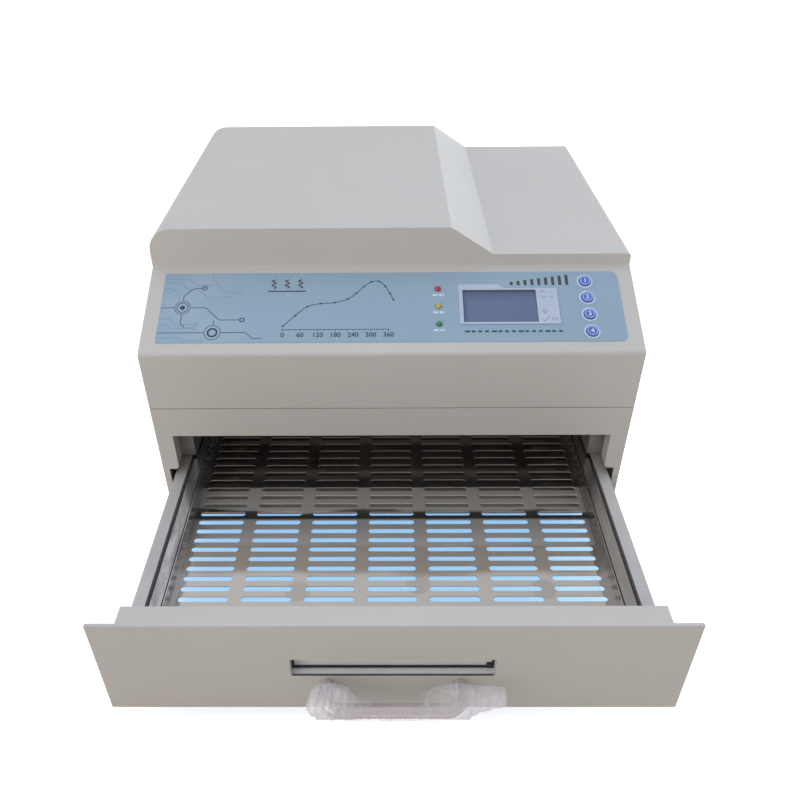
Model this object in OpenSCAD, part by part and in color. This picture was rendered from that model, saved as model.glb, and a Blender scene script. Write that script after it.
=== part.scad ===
// Bench reflow oven: a sheet-metal cabinet with a heated chamber, a control
// panel on its slope and a pull-out drawer with a slotted tray.
// X runs to the right, Y to the rear and Z up. The origin is the middle of the
// footprint of the oven with its drawer pulled out, level with the feet.

/* [Cabinet] */
// Width over the side walls
cab_w = 420; // [380:5:460]
// Depth from the front face to the rear panel
cab_d = 365; // [350:5:400]
// Height of the base, from the floor plate to the seam
base_h = 130; // [126:1:145]
// Height of the feet
foot_h = 12; // [9:1:20]
// Radius of a foot at the floor
foot_r = 14; // [10:0.5:18]
// Inset of the feet from the edges of the cabinet
foot_inset = 36; // [28:1:60]
// Thickness of the casing sheet
sheet = 1.2; // [1:0.1:1.5]
// Open seam between base and hood
seam_gap = 0.8; // [0.5:0.1:1.5]
// Width of the folded flanges of the casing
flange = 12; // [9:0.5:15]
// Height of the top rail of the front opening
rail_h = 30.2; // [28:0.1:34]
// Width of the posts beside the front opening
post_w = 15; // [13:0.5:17]
// How far below the seam the posts end
post_drop = 69.3; // [66:0.1:71]
// Radius of the lower inner corner of the posts
post_r = 4; // [2:0.5:6]
// Depth of the flanges folded back from the posts and the top rail
return_d = 13; // [8:0.5:13]
// Width of the front edge strip below the posts
strip_w = 5.8; // [4:0.1:5.8]

/* [Hood] */
// Height of the upright front below the control panel
front_h = 56.8; // [54:0.1:62]
// Depth of the sloping control panel
slope_run = 79.9; // [76:0.1:88]
// Rise of the sloping control panel
slope_rise = 40.4; // [36:0.1:42]
// Height of the low top above the seam
low_h = 107.7; // [104:0.1:114]
// Height of the raised top above the seam
high_h = 133; // [130:0.5:145]
// Width of the low top, from the right wall to the slanting facet
low_w = 120; // [100:0.5:130]
// Run of the slanting facet between the low and the raised top
facet_run = 37.7; // [30:0.1:50]
// Radius of the left edge of the raised top
top_r = 20.8; // [10:0.1:24]
// Outer radius of the other bends
bend_r = 3; // [2:0.1:4]

/* [Control panel] */
// Margin between the label and the sides of the cabinet
label_inset = 13; // [12:0.5:25]
// Lower edge of the label, up the slope
label_s = 11.2; // [9:0.1:13]
// Height of the label along the slope
label_h = 70.4; // [66:0.1:72]
// Thickness of the label
label_t = 0.5; // [0.3:0.1:0.8]
// Distance of the left edge of the display window from the right wall
lcd_inset = 148.3; // [146:0.1:152]
// Lower edge of the display window, up the slope
lcd_s = 29.8; // [28:0.1:32]
// Width of the display window
lcd_w = 63; // [56:0.5:64]
// Height of the display window
lcd_h = 32.7; // [28:0.1:33]
// Thickness of the display glass
lcd_t = 0.8; // [0.5:0.1:1.2]
// Width of the bezel, from its left edge
bezel_w = 84.6; // [80:0.1:90]
// Height of the bezel
bezel_h = 36; // [35:0.1:37]
// Thickness of the bezel
bezel_t = 0.8; // [0.5:0.1:1.5]
// Distance of the column of lamps from the right wall
led_inset = 169.2; // [164:0.1:176]
// Radius of a lamp
led_r = 2.5; // [1.5:0.1:3]
// Distance of the column of keys from the right wall
key_inset = 41.8; // [35:0.1:50]
// Radius of a key
key_r = 5; // [4:0.1:5.5]
// Pitch of the keys
key_pitch = 16.9; // [15:0.1:18]
// Travel of a key
key_travel = 1; // [0.5:0.1:1.2]
// Height of a key above the panel sheet
key_proud = 1.9; // [1.8:0.1:2.6]

/* [Drawer] */
// Gap between the cabinet and the rear of the drawer panel as it stands
drawer_open = 196.7; // [120:0.1:210]
// Thickness of the drawer panel
panel_t = 2.4; // [2:0.1:3]
// Depth of the drawer box behind the panel
box_d = 14; // [10:0.5:15]
// Clearance above the drawer panel
panel_gap = 1.1; // [0.6:0.1:2]
// Clearance below the drawer panel
panel_lift = 2.6; // [2:0.1:4]
// Length of the drawer behind its box
rail_l = 322.7; // [310:0.1:323]
// How far below the seam the tops of the drawer rails lie
rim_drop = 76; // [75:0.1:78]
// Depth of the tray
tray_h = 20; // [15:0.5:22]
// Width of the slots in the tray
slot_w = 4; // [3:0.1:5]
// Length of the slots in the tray
slot_l = 40.4; // [30:0.1:43]
// Pitch of the slots across the tray
slot_px = 50.8; // [48:0.1:51]
// Pitch of the slots along the tray
slot_py = 10.5; // [9:0.1:12]
// Width of the window in the drawer panel
window_w = 146; // [120:1:150]
// Height of the window
window_h = 19; // [14:0.5:20]
// Distance of the window below the top of the panel
window_drop = 37.7; // [30:0.1:40]
// Distance between the legs of the handle
handle_c = 96; // [64:1:128]
// Radius of the handle rod
handle_r = 5; // [4:0.1:5.5]
// Projection of the handle rod in front of the panel
handle_p = 22.2; // [20:0.1:30]
// Distance of the handle below the window
handle_drop = 7.5; // [6:0.1:10]

/* [Slides] */
// Length of the drawer slides
slide_l = 300; // [280:1:305]
// Height of the drawer slides
slide_h = 35; // [30:0.5:36]
// Thickness of the sheet of the slides
slide_t = 1.2; // [1:0.1:1.3]

/* [Chamber] */
// Clearance between the drawer rails and the chamber walls above them
chamber_gap = 3; // [2:0.1:5]
// Height of the chamber roof above the seam
chamber_h = 22; // [20:0.5:26]
// Thickness of the insulation board
wool_h = 18; // [12:0.5:20]
// Radius of a heater tube
tube_r = 5; // [4:0.1:6]
// Number of heater tubes
tube_n = 5; // [3:1:5]
// Radius of the circulation impeller
wheel_r = 55; // [45:1:60]
// Place of the circulation fan, from the middle of the cabinet
wheel_x = -70; // [-90:1:-60]

// Radius of the circulation motor
motor_r = 30; // [25:0.5:34]
// Height of the circulation motor
motor_h = 40; // [34:0.5:44]
// Radius of the circulation motor's shaft
shaft_r = 3; // [2.5:0.1:4]
// Depth of the chamber tabs beside the drawer
tab_d = 12; // [8:0.5:14]

/* [Electronics] */
// Width of the control board
pcb_w = 105; // [90:1:110]
// Length of the control board
pcb_l = 125; // [110:1:130]
// Thickness of the circuit boards
board_t = 1.6; // [1:0.1:2]
// Height of the control board above the heat shield
pcb_lift = 10; // [7:0.5:14]
// Distance of the control board from the right wall
pcb_side = 30; // [24:1:40]
// Distance of the control board behind the front of the chamber
pcb_front = 72; // [50:1:80]
// Width of the transformer core
core_w = 50; // [44:1:56]
// Depth of the transformer core
core_d = 30; // [24:1:36]
// Height of the transformer core
core_h = 42; // [38:1:46]
// Distance of the transformer behind the front of the chamber
core_front = 120; // [90:1:140]
// Gap between the transformer and the circulation motor
core_gap = 3; // [2:0.5:8]
// Distance of the heat sink from the right wall
sink_side = 190; // [170:1:200]
// Distance of the heat sink behind the front of the chamber
sink_front = 215; // [212:1:240]
// Width of the relay's heat sink
sink_w = 58; // [50:1:60]
// Depth of the relay's heat sink
sink_d = 44; // [38:1:50]
// Height of the relay's heat sink
sink_h = 26; // [20:1:32]
// Thickness of the fins of the heat sink
fin_t = 2; // [1.5:0.1:2.5]
// Pitch of the fins of the heat sink
fin_p = 8; // [6:0.5:10]
// Distance between the lamps and their board
board_drop = 16; // [14:0.5:18]

/* [Rear] */
// Size of the exhaust fan
big_fan = 80; // [70:1:80]
// Size of the electronics fan
small_fan = 60; // [50:1:60]
// Thickness of both fans
fan_d = 25; // [20:1:25]
// Length of the fuse cap, the rearmost piece
fuse_l = 9; // [8:0.5:14]

/* [Hidden] */
$fn = 48;

// Finishes
paint = "#cfccc4";
steel = "#a9a8a8";
zinc = "#9d9a96";
dark = "#2b2c2e";
green = "#2f6b4a";

// Levels
eps = 0.01;
fit = 0.3;
half_w = cab_w / 2;
inner_w = half_w - sheet;
base_z = foot_h;
seam_z = foot_h + base_h;
open_z = seam_z - rail_h;
post_z = seam_z - post_drop;
rim_z = seam_z - rim_drop;
tray_z = rim_z - tray_h;
hood_z = seam_z + seam_gap;
slope_z = seam_z + front_h;
low_z = seam_z + low_h;
high_z = seam_z + high_h;
slope_a = atan2(slope_rise, slope_run);
slope_l = norm([slope_run, slope_rise]);
floor_z = base_z + 2 * sheet;

// Drawer planes, with the drawer pulled out as it stands
panel_y = -drawer_open - panel_t;
box_y = -drawer_open;
back_y = box_y + box_d;
rail_y1 = back_y + rail_l;
panel_z1 = open_z - panel_gap;
panel_z0 = base_z + panel_lift;
open_half = half_w - post_w;
box_half = open_half - 5.5;
rail_x = half_w - 20;
rail_flange = 10;
frame_half = rail_x - 3.3;
tray_half = frame_half - 9.9;
tray_y0 = back_y + 3;
bar_w = 9;
tray_y1 = rail_y1 - bar_w - 3;
window_z1 = panel_z1 - window_drop;
window_z0 = window_z1 - window_h;
handle_z = window_z0 - handle_drop;
handle_y = panel_y - handle_p;

// Chamber
liner_t = 1;
ch_half = rail_x - 5;
ch_y0 = return_d + 11;
ch_y1 = cab_d - 35;
ch_z0 = rim_z + chamber_gap;
ch_z1 = seam_z + chamber_h;
wool_z1 = ch_z1 + liner_t + wool_h;
deck_z = wool_z1 + liner_t;
tube_z = open_z + 22;
wheel_y = (ch_y0 + ch_y1) / 2;
exhaust_x = wheel_x + 10;
exhaust_z = ch_z0 + big_fan / 2 + 7;
cooling_x = half_w - small_fan * 1.5;
cooling_z = deck_z + small_fan / 2 + 4;
inlet_x = half_w - 45;
inlet_z = ch_z0 + 50;
switch_x = inlet_x - 47;
fuse_x = switch_x - 34;
panel_in_y = cab_d - sheet;

// Slides
slide_x1 = half_w - strip_w - 1;
slide_x0 = rail_x + sheet;
slide_z = rim_z - 10 - slide_h / 2;
slide_y0 = return_d + 1;

// Places across the top and the panel, from the right wall
facet_x = half_w - low_w;
raise_x = facet_x - facet_run;
label_w = cab_w - 2 * label_inset;
lcd_x = half_w - lcd_inset;
led_x = half_w - led_inset;
key_x = half_w - key_inset;

// Front and rear ends of the whole oven
film_r = handle_r + 1.4;
front_end = handle_y - film_r;
rear_end = cab_d + fuse_l;
mid_y = (front_end + rear_end) / 2;

// A polygon corner at b with radius r, between the points a and c
function unit(v) = v / norm(v);
function corner(a, b, c, r, n = 6) =
    let (u = unit(a - b), v = unit(c - b), h = acos(u * v) / 2,
         m = b + unit(u + v) * r / sin(h),
         p = b + u * r / tan(h) - m, q = b + v * r / tan(h) - m,
         s = atan2(p.y, p.x), d = atan2(cross(p, q), p * q))
    r <= 0 ? [b] : [for (i = [0:n]) m + r * [cos(s + d * i / n), sin(s + d * i / n)]];
// An outline through points given as [x, y, corner radius]
function outline(p) = let (k = len(p)) [for (i = [0:k - 1])
    each corner([p[(i + k - 1) % k].x, p[(i + k - 1) % k].y], [p[i].x, p[i].y],
                [p[(i + 1) % k].x, p[(i + 1) % k].y], p[i][2])];

module place() { translate([0, -mid_y, 0]) children(); }
module both_sides() { children(); mirror([1, 0, 0]) children(); }
module along_x(x0, l) { translate([x0, 0, 0]) rotate([90, 0, 90]) linear_extrude(l) children(); }
module along_y(y0, l) { translate([0, y0 + l, 0]) rotate([90, 0, 0]) linear_extrude(l) children(); }
// A block between two opposite corners
module block(a, b) { translate(a) cube(b - a); }
// A round rod along X or Y, from its start point
module rod_x(p, r, l) { translate(p) rotate([0, 90, 0]) cylinder(r = r, h = l); }
module rod_y(p, r, l) { translate(p) rotate([-90, 0, 0]) cylinder(r = r, h = l); }
// Places its children on the control slope: X across, Y up the slope, Z outwards
module on_slope(x, s) {
    translate([0, 0, slope_z]) rotate([slope_a, 0, 0]) translate([x, s, 0]) children();
}

// ---- Casing -------------------------------------------------------------

tab_w = 20;
tab_y = [slope_run - 10, cab_d / 2, cab_d - 55];
screw_z = hood_z + 14;
screw_r = 2;
hole_r = 2.2;

module base_shell() color(paint) {
    both_sides() difference() {
        union() {
            block([inner_w, 0, base_z + sheet], [half_w, cab_d, seam_z]);
            block([half_w - flange, 0, base_z + sheet], [half_w, cab_d - sheet, floor_z]);
            block([half_w - flange, sheet, seam_z - sheet],
                  [half_w, panel_in_y - fit, seam_z]);
            block([half_w - strip_w, 0, base_z + sheet], [half_w, sheet, open_z]);
            post();
            for (y = tab_y)
                block([inner_w - sheet, y - tab_w / 2, seam_z - 15],
                      [inner_w, y + tab_w / 2, screw_z + 10]);
        }
        for (y = tab_y) rod_x([inner_w - 2 * sheet, y, screw_z], hole_r, 4 * sheet);
        block([half_w - sheet - eps, -1, seam_z], [half_w + 1, cab_d + 1, high_z]);
    }
    block([-half_w, 0, open_z], [half_w, sheet, seam_z]);
    block([-half_w, 0, seam_z - sheet], [half_w, return_d, seam_z]);
    block([-open_half - sheet, 0, open_z], [open_half + sheet, return_d, open_z + sheet]);
}
// The post of the front opening, with its rounded foot and its return flange
module post() {
    along_y(0, sheet) polygon(outline([
        [open_half, post_z, post_r], [half_w, post_z, 0],
        [half_w, open_z + 1, 0], [open_half, open_z + 1, 0]]));
    block([open_half, 0, post_z + post_r], [open_half + sheet, return_d, open_z + sheet]);
}

module foot_places() {
    for (x = [-1, 1], y = [foot_inset, cab_d - foot_inset])
        translate([x * (half_w - foot_inset), y, 0]) children();
}

module floor_plate() color(paint) difference() {
    block([-inner_w + fit, 2, base_z], [inner_w - fit, cab_d - 2, base_z + sheet]);
    foot_places() translate([0, 0, base_z - 1]) cylinder(r = hole_r, h = 4);
    for (i = [-6:6], y = [cab_d / 2 - 22, cab_d - 133])
        translate([i * 20 - vent_w / 2, y, base_z - 1]) cube([vent_w, 40, 4]);
}

module feet() color(dark) foot_places() difference() {
    cylinder(r1 = foot_r, r2 = foot_r - 2, h = foot_h);
    translate([0, 0, -1]) cylinder(r = 5, h = foot_h - 4);
    cylinder(r = hole_r, h = foot_h + 1);
}

module foot_screws() color(steel) foot_places() {
    translate([0, 0, foot_h - 7.6]) cylinder(r = 4.2, h = 2.6);
    translate([0, 0, foot_h - 6]) cylinder(r = screw_r, h = 9.4);
}

// Side view of the hood, drawn d inside its outer face
function hood_side(d) = outline([
    [d, hood_z - d, 0],
    [d, slope_z + d * tan(slope_a) - d / cos(slope_a), bend_r + 1 - d],
    [slope_run + d, slope_z + (slope_run + d) * tan(slope_a) - d / cos(slope_a), 1 + d],
    [slope_run + d, high_z - d, 0],
    [cab_d + d, high_z - d, 0],
    [cab_d + d, hood_z - d, 0]]);
// Front view of the cabinet above z0, drawn d inside its outer face
function cab_section(d, z0) = let (
    b = atan2(high_z - low_z, facet_x - raise_x), k = d / tan(b) - d / sin(b)) outline([
    [-half_w + d, z0, 0], [-half_w + d, high_z - d, top_r - d],
    [raise_x + k, high_z - d, bend_r - d], [facet_x + k, low_z - d, bend_r + d],
    [half_w - d, low_z - d, bend_r - d], [half_w - d, z0, 0]]);
module hood_body(d) intersection() {
    along_x(-half_w + d, cab_w - 2 * d) polygon(hood_side(d));
    along_y(-d, cab_d + 3 * d) polygon(cab_section(d, hood_z - 2 * d));
}

vent_n = 8;
vent_w = 4;
vent_p = 14;
vent_low = 42;
vent_h = 36;
vent_inset = 60;
module hood_shell() color(paint) difference() {
    union() {
        difference() { hood_body(0); hood_body(sheet); }
        block([-inner_w, 0, hood_z], [inner_w, flange, hood_z + sheet]);
    }
    on_slope(lcd_x - 1.5, lcd_s - 1.5) translate([0, 0, -3]) cube([lcd_w + 3, lcd_h + 3, 6]);
    for (i = [0:2]) on_slope(led_x, led_s(i)) translate([0, 0, -3]) cylinder(r = led_r + fit, h = 6);
    for (i = [0:key_n - 1]) on_slope(key_x, key_s(i)) translate([0, 0, -3]) cylinder(r = key_r + fit, h = 6);
    both_sides() {
        for (y = tab_y) rod_x([inner_w - 1, y, screw_z], hole_r, 4);
        for (i = [0:vent_n - 1])
            block([inner_w - 1, cab_d - vent_inset - i * vent_p, hood_z + vent_low],
                  [half_w + 1, cab_d - vent_inset - i * vent_p + vent_w, hood_z + vent_low + vent_h]);
    }
}

module pan_screw_x(p, l) {
    translate(p) rotate([0, 90, 0]) {
        cylinder(r = 3.6, h = 1.2);
        translate([0, 0, 1.2]) cylinder(r1 = 3.6, r2 = 2.2, h = 0.8);
        translate([0, 0, -l]) cylinder(r = screw_r, h = l + eps);
    }
}
module case_screws() color(steel)
    both_sides() for (y = tab_y) pan_screw_x([half_w, y, screw_z], 7);

inlet_size = [27.4, 20];
switch_size = [19.2, 13];
fuse_r = 6.2;
module rear_panel() color(paint) difference() {
    union() {
        along_y(panel_in_y, sheet) polygon(cab_section(sheet, floor_z));
        both_sides() block([inner_w - sheet - fit, cab_d - 14, hood_z + 30],
                           [inner_w - fit, cab_d - eps, low_z - 30]);
    }
    fan_cuts(exhaust_x, exhaust_z, big_fan);
    fan_cuts(cooling_x, cooling_z, small_fan);
    translate([inlet_x, cab_d, inlet_z]) cube([inlet_size.x, 6, inlet_size.y], center = true);
    for (x = [-1, 1]) rod_y([inlet_x + x * 20, cab_d - 3, inlet_z], 1.7, 6);
    translate([switch_x, cab_d, inlet_z]) cube([switch_size.x, 6, switch_size.y], center = true);
    rod_y([fuse_x, cab_d - 3, inlet_z], fuse_r, 6);
    for (i = [-7:7]) translate([i * 16 - 2, cab_d - 3, floor_z + 10]) cube([vent_w, 6, 24]);
}
module fan_cuts(x, z, size) {
    rod_y([x, cab_d - 3, z], size / 2 - 3, 6);
    fan_corners(x, z, size) rod_y([0, cab_d - 3, 0], hole_r, 6);
}
// The four fixing places of a square fan
module fan_corners(x, z, size) {
    c = size / 2 - 4.2;
    for (i = [-1, 1], j = [-1, 1]) translate([x + i * c, 0, z + j * c]) children();
}

// ---- Control panel ------------------------------------------------------

function led_s(i) = lcd_s - 1.2 + i * 17.7;
key_n = 4;
function key_s(i) = label_s + 9.4 + (key_n - 1 - i) * key_pitch;
bezel_x = lcd_x - 3.3;
bezel_s = lcd_s - 1.8;

module control_label() color("#8fa9bc") difference() {
    on_slope(-label_w / 2, label_s) linear_extrude(label_t) polygon(outline([
        [0, 0, 1.5], [label_w, 0, 6], [label_w, label_h, 6], [0, label_h, 1.5]]));
    on_slope(lcd_x, lcd_s) translate([0, 0, -1]) cube([lcd_w, lcd_h, 3]);
    for (i = [0:2]) on_slope(led_x, led_s(i)) translate([0, 0, -1]) cylinder(r = led_r + fit, h = 3);
    for (i = [0:key_n - 1]) on_slope(key_x, key_s(i)) translate([0, 0, -1]) cylinder(r = key_r + fit, h = 3);
}

// Pale surround of the display, with a raised tab on its left and a wide right margin
module display_bezel() color("#c3cad2") difference() {
    on_slope(bezel_x, bezel_s) translate([0, 0, label_t]) linear_extrude(bezel_t) polygon(outline([
        [0, 0, 1], [bezel_w, 0, 1], [bezel_w, bezel_h, 1], [39.6, bezel_h, 0],
        [34, bezel_h + 4.2, 0], [0, bezel_h + 4.2, 1]]));
    on_slope(lcd_x, lcd_s) cube([lcd_w, lcd_h, 4]);
}

module display_glass() color("#5f6f93")
    on_slope(lcd_x - 1, lcd_s - 1)
        translate([0, 0, -sheet]) cube([lcd_w + 2, lcd_h + 2, lcd_t]);

// Glass cell in a folded metal frame on its circuit board
module display_module() {
    on_slope(lcd_x, lcd_s) {
        color(dark) translate([-4, -3, -sheet - 6]) difference() {
            cube([lcd_w + 8, lcd_h + 6, 6]);
            translate([4, 3, 5]) cube([lcd_w, lcd_h, 2]);
        }
        color(green) translate([-9, -8, -sheet - 6 - board_t]) cube([lcd_w + 18, lcd_h + 16, board_t]);
    }
}

// The wide board behind the panel that carries the lamps and the key switches
collar_r = key_r + 1.2;
post_r6 = 2.4;
board_edge = collar_r + 2 * post_r6 + 1;
board_s0 = lcd_s - 16;
board_h = 66;
module front_board() {
    color(green) on_slope(led_x - board_edge, board_s0)
        translate([0, 0, -board_drop]) cube([key_x - led_x + 2 * board_edge, board_h, board_t]);
    color(steel) for (x = [led_x - collar_r - post_r6, key_x + collar_r + post_r6],
                      s = [board_s0 + 5, board_s0 + board_h - 5])
        on_slope(x, s) translate([0, 0, -board_drop + board_t - eps])
            cylinder(r = post_r6, h = board_drop - sheet - board_t + eps, $fn = 6);
    color(dark) for (i = [0:key_n - 1]) on_slope(key_x, key_s(i))
        translate([0, 0, -board_drop + board_t - eps]) difference() {
            translate([-3, -3, 0]) cube([6, 6, switch_h]);
            translate([0, 0, switch_h - key_travel - 0.8]) cylinder(r = 1.9, h = 4);
        }
}
switch_h = 5;

module status_leds() {
    for (i = [0:2]) on_slope(led_x, led_s(i)) color(["#2f9a4c", "#e0b63a", "#c53439"][i]) {
        translate([0, 0, label_t]) sphere(r = led_r);
        translate([0, 0, -sheet - 3.2]) cylinder(r = led_r, h = sheet + 3.2 + label_t);
        translate([0, 0, -sheet - 4]) cylinder(r = led_r + 0.5, h = 1);
        for (x = [-1.2, 1.2]) translate([x, 0, -board_drop + board_t])
            cylinder(r = 0.4, h = board_drop - board_t - sheet - 3.6 + eps);
    }
}

// A round key: its cap, the collar that holds it behind the panel, and its stem
module key(i) color("#3f62b8") on_slope(key_x, key_s(i)) {
    translate([0, 0, -sheet - fit]) cylinder(r = key_r, h = sheet + fit + key_proud);
    translate([0, 0, -sheet - fit - 1.2]) cylinder(r = collar_r, h = 1.2 + eps);
    translate([0, 0, -board_drop + board_t + switch_h - 0.3])
        cylinder(r = 1.6, h = board_drop - board_t - switch_h - sheet - 0.4);
}
module key_1() key(0);
module key_2() key(1);
module key_3() key(2);
module key_4() key(3);

// ---- Heated chamber -----------------------------------------------------

function tube_y(i) = ch_y0 + 36 + i * (ch_y1 - ch_y0 - 72) / (tube_n - 1);
probe_x = 60;
probe_z = ch_z0 + 30;

// Polished liner: roof, side walls, rear wall, front lip and two front tabs
module chamber_liner() color(steel) difference() {
    union() {
        block([-ch_half - liner_t, ch_y0, ch_z1], [ch_half + liner_t, ch_y1, ch_z1 + liner_t]);
        both_sides() {
            block([ch_half, ch_y0, ch_z0], [ch_half + liner_t, ch_y1, ch_z1 + eps]);
            block([ch_half, ch_y0, ch_z0], [half_w - 7, ch_y0 + liner_t, seam_z - 4]);
            block([half_w - 7 - liner_t, ch_y0, ch_z0], [half_w - 7, ch_y0 + tab_d, seam_z - 4]);
        }
        block([-ch_half - eps, ch_y0, open_z + 1.5], [ch_half + eps, ch_y0 + liner_t, ch_z1 + eps]);
        block([-ch_half - eps, ch_y1 - liner_t, ch_z0], [ch_half + eps, ch_y1, ch_z1 + eps]);
    }
    translate([wheel_x, wheel_y, ch_z1 - 1]) cylinder(r = shaft_r + 4, h = 4);
    rod_y([exhaust_x, ch_y1 - 3, exhaust_z], big_fan / 2 - 8, 6);
    rod_y([probe_x, ch_y1 - 3, probe_z], 3.2, 6);
    both_sides() for (i = [0:tube_n - 1]) rod_x([ch_half - 1, tube_y(i), tube_z], 2.5, 4);
}

// Angles that carry the chamber on the top flanges of the base
module chamber_hangers() color(zinc) both_sides()
    along_y(ch_y0 + 20, ch_y1 - ch_y0 - 40) polygon([
        [ch_half + liner_t, seam_z], [inner_w - sheet - fit, seam_z],
        [inner_w - sheet - fit, seam_z + sheet], [ch_half + liner_t + sheet, seam_z + sheet],
        [ch_half + liner_t + sheet, seam_z + 16], [ch_half + liner_t, seam_z + 16]]);

module insulation_board() color("#dcd8cc") difference() {
    block([-ch_half, ch_y0 + 1, ch_z1 + liner_t], [ch_half, ch_y1 - 1, wool_z1]);
    translate([wheel_x, wheel_y, ch_z1]) cylinder(r = shaft_r + 5, h = wool_h + 4);
}

module heat_shield() color(zinc) difference() {
    union() {
        block([-ch_half - 2 * liner_t, ch_y0, wool_z1], [ch_half + 2 * liner_t, ch_y1, deck_z]);
        both_sides() block([ch_half + liner_t, ch_y0, seam_z + 16], [ch_half + 2 * liner_t, ch_y1, deck_z]);
    }
    translate([wheel_x, wheel_y, wool_z1 - 1]) cylinder(r = shaft_r + 4, h = 4);
}

module heater_tubes() color("#e6e2da") for (i = [0:tube_n - 1]) difference() {
    rod_x([-ch_half + 4, tube_y(i), tube_z], tube_r, 2 * ch_half - 8);
    rod_x([-ch_half, tube_y(i), tube_z], tube_r - 1, 2 * ch_half);
}

module heater_filaments() color("#6a625c") for (i = [0:tube_n - 1])
    rod_x([-ch_half - 2, tube_y(i), tube_z], 1.6, 2 * ch_half + 4);

socket_l = 12;
socket_w = 18;
socket_h = 20;
module heater_sockets() color("#e9e5dc") both_sides() for (i = [0:tube_n - 1]) difference() {
    translate([ch_half - socket_l, tube_y(i) - socket_w / 2, tube_z - socket_w / 2])
        cube([socket_l, socket_w, socket_h]);
    rod_x([ch_half - socket_l - 1, tube_y(i), tube_z], tube_r + 0.2, 9.2);
    rod_x([ch_half - socket_l - 1, tube_y(i), tube_z], 2, socket_l + 3);
}

module thermocouple() color(steel) {
    rod_y([probe_x, ch_y1 - 70, probe_z], 1.5, 84);
    rod_y([probe_x, ch_y1, probe_z], 5, 4, $fn = 6);
    rod_y([probe_x, ch_y1 - 3, probe_z], 3, 4);
}

motor_foot = motor_r + 4;
bush_r = 4 * shaft_r;
bush_h = 2 * shaft_r;
// Flat motor on a square foot, with cooling fins and the bush that its shaft turns in
module circulation_motor() translate([wheel_x, wheel_y, deck_z]) difference() {
    union() {
        color(zinc) translate([-motor_foot, -motor_foot, 0]) cube([2 * motor_foot, 2 * motor_foot, 3]);
        color(dark) translate([0, 0, 2.9]) cylinder(r = motor_r, h = motor_h);
        color(zinc) translate([0, 0, motor_h + 2.8]) cylinder(r = bush_r, h = bush_h);
        color(dark) for (a = [0:30:330]) rotate(a)
            translate([motor_r - 1, -1, motor_h / 5]) cube([3, 2, motor_h * 0.7]);
    }
    translate([0, 0, -1]) cylinder(r = shaft_r + 0.05, h = motor_h + 2 * bush_h);
}

// Radial wheel under the chamber roof, with its long shaft
wheel_z = ch_z1 - 4;
module circulation_impeller() color(steel) translate([wheel_x, wheel_y, 0]) {
    translate([0, 0, wheel_z - 12]) cylinder(r = shaft_r, h = deck_z + motor_h - wheel_z + 12);
    translate([0, 0, wheel_z - 12]) cylinder(r = 9, h = 12);
    translate([0, 0, wheel_z - 1.2]) cylinder(r = wheel_r, h = 1.2);
    for (a = [0:30:330]) rotate(a)
        translate([16, -0.6, wheel_z - 10]) rotate([0, 0, 12]) cube([wheel_r - 20, 1.2, 10]);
    difference() {
        translate([0, 0, wheel_z - 10]) cylinder(r = wheel_r - 2, h = 1);
        translate([0, 0, wheel_z - 11]) cylinder(r = wheel_r - 20, h = 3);
    }
}

// ---- Electronics --------------------------------------------------------

pcb_x = half_w - pcb_side - pcb_w;
pcb_y = ch_y0 + pcb_front;
pcb_z = deck_z + pcb_lift;
// Control board: relays, processor, ribbon socket, capacitors and terminal blocks
module control_board() {
    translate([pcb_x, pcb_y, pcb_z]) {
        color(green) difference() {
            cube([pcb_w, pcb_l, board_t]);
            board_holes() translate([0, 0, -1]) cylinder(r = 1.6, h = board_t + 2);
        }
        translate([0, 0, board_t - eps]) {
            color(dark) {
                for (y = [0.48, 0.64]) translate([8, pcb_l * y, 0]) cube([16, 12, 14]);
                translate([pcb_w * 0.57, pcb_l * 0.24, 0]) cube([22, 22, 2.5]);
                translate([pcb_w * 0.38, pcb_l * 0.72, 0]) cube([30, 10, 9]);
            }
            color("#3d5f9c") for (p = [[0.38, 0.16], [0.38, 0.32], [0.86, 0.8]])
                translate([p.x * pcb_w, p.y * pcb_l, 0]) cylinder(r = 6, h = 20);
            color("#3f8f4a") for (y = [12, 34, 56]) translate([pcb_w - 12, y, 0]) cube([9, 18, 11]);
        }
    }
}
module board_holes() {
    for (x = [5, pcb_w - 5], y = [5, pcb_l - 5]) translate([x, y, 0]) children();
}
module board_standoffs() color(steel) translate([pcb_x, pcb_y, deck_z]) board_holes() {
    cylinder(r = 3, h = pcb_z - deck_z, $fn = 6);
    translate([0, 0, pcb_z - deck_z - 3]) cylinder(r = 1.5, h = 3 + board_t + eps);
    translate([0, 0, pcb_z - deck_z + board_t]) cylinder(r = 2.8, h = 1.8);
}

coil_w = core_w * 0.56;
coil_h = core_h * 0.66;
coil_out = 8;
core_foot = 8;
core_x = wheel_x - motor_foot - core_gap - core_foot - core_w;
// Laminated core on two feet, with its winding standing out in front and behind
module transformer() translate([core_x, ch_y0 + core_front, deck_z]) {
    color(zinc) cube([core_w, core_d, core_h]);
    color("#a87a3c") for (y = [-coil_out, core_d - eps])
        translate([(core_w - coil_w) / 2, y, (core_h - coil_h) / 2]) cube([coil_w, coil_out + eps, coil_h]);
    color(zinc) for (x = [-core_foot, core_w - core_foot / 2])
        translate([x, core_d / 6, 0]) cube([core_foot * 1.5, core_d * 0.67, 1.5]);
}

// Solid-state relay on a finned extrusion
fin_n = floor((sink_w - fin_t) / fin_p) + 1;
relay_d = 14;
module relay_heatsink() translate([half_w - sink_side, ch_y0 + sink_front, deck_z]) {
    color(steel) {
        cube([sink_w, sink_d, 4]);
        for (i = [0:fin_n - 1]) translate([i * fin_p, 0, 4 - eps]) cube([fin_t, sink_d, sink_h - 4]);
    }
    color(dark) translate([sink_w / 6, -relay_d + eps, 0]) cube([sink_w * 0.66, relay_d, sink_h - 2]);
}

// ---- Fans ---------------------------------------------------------------

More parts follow.
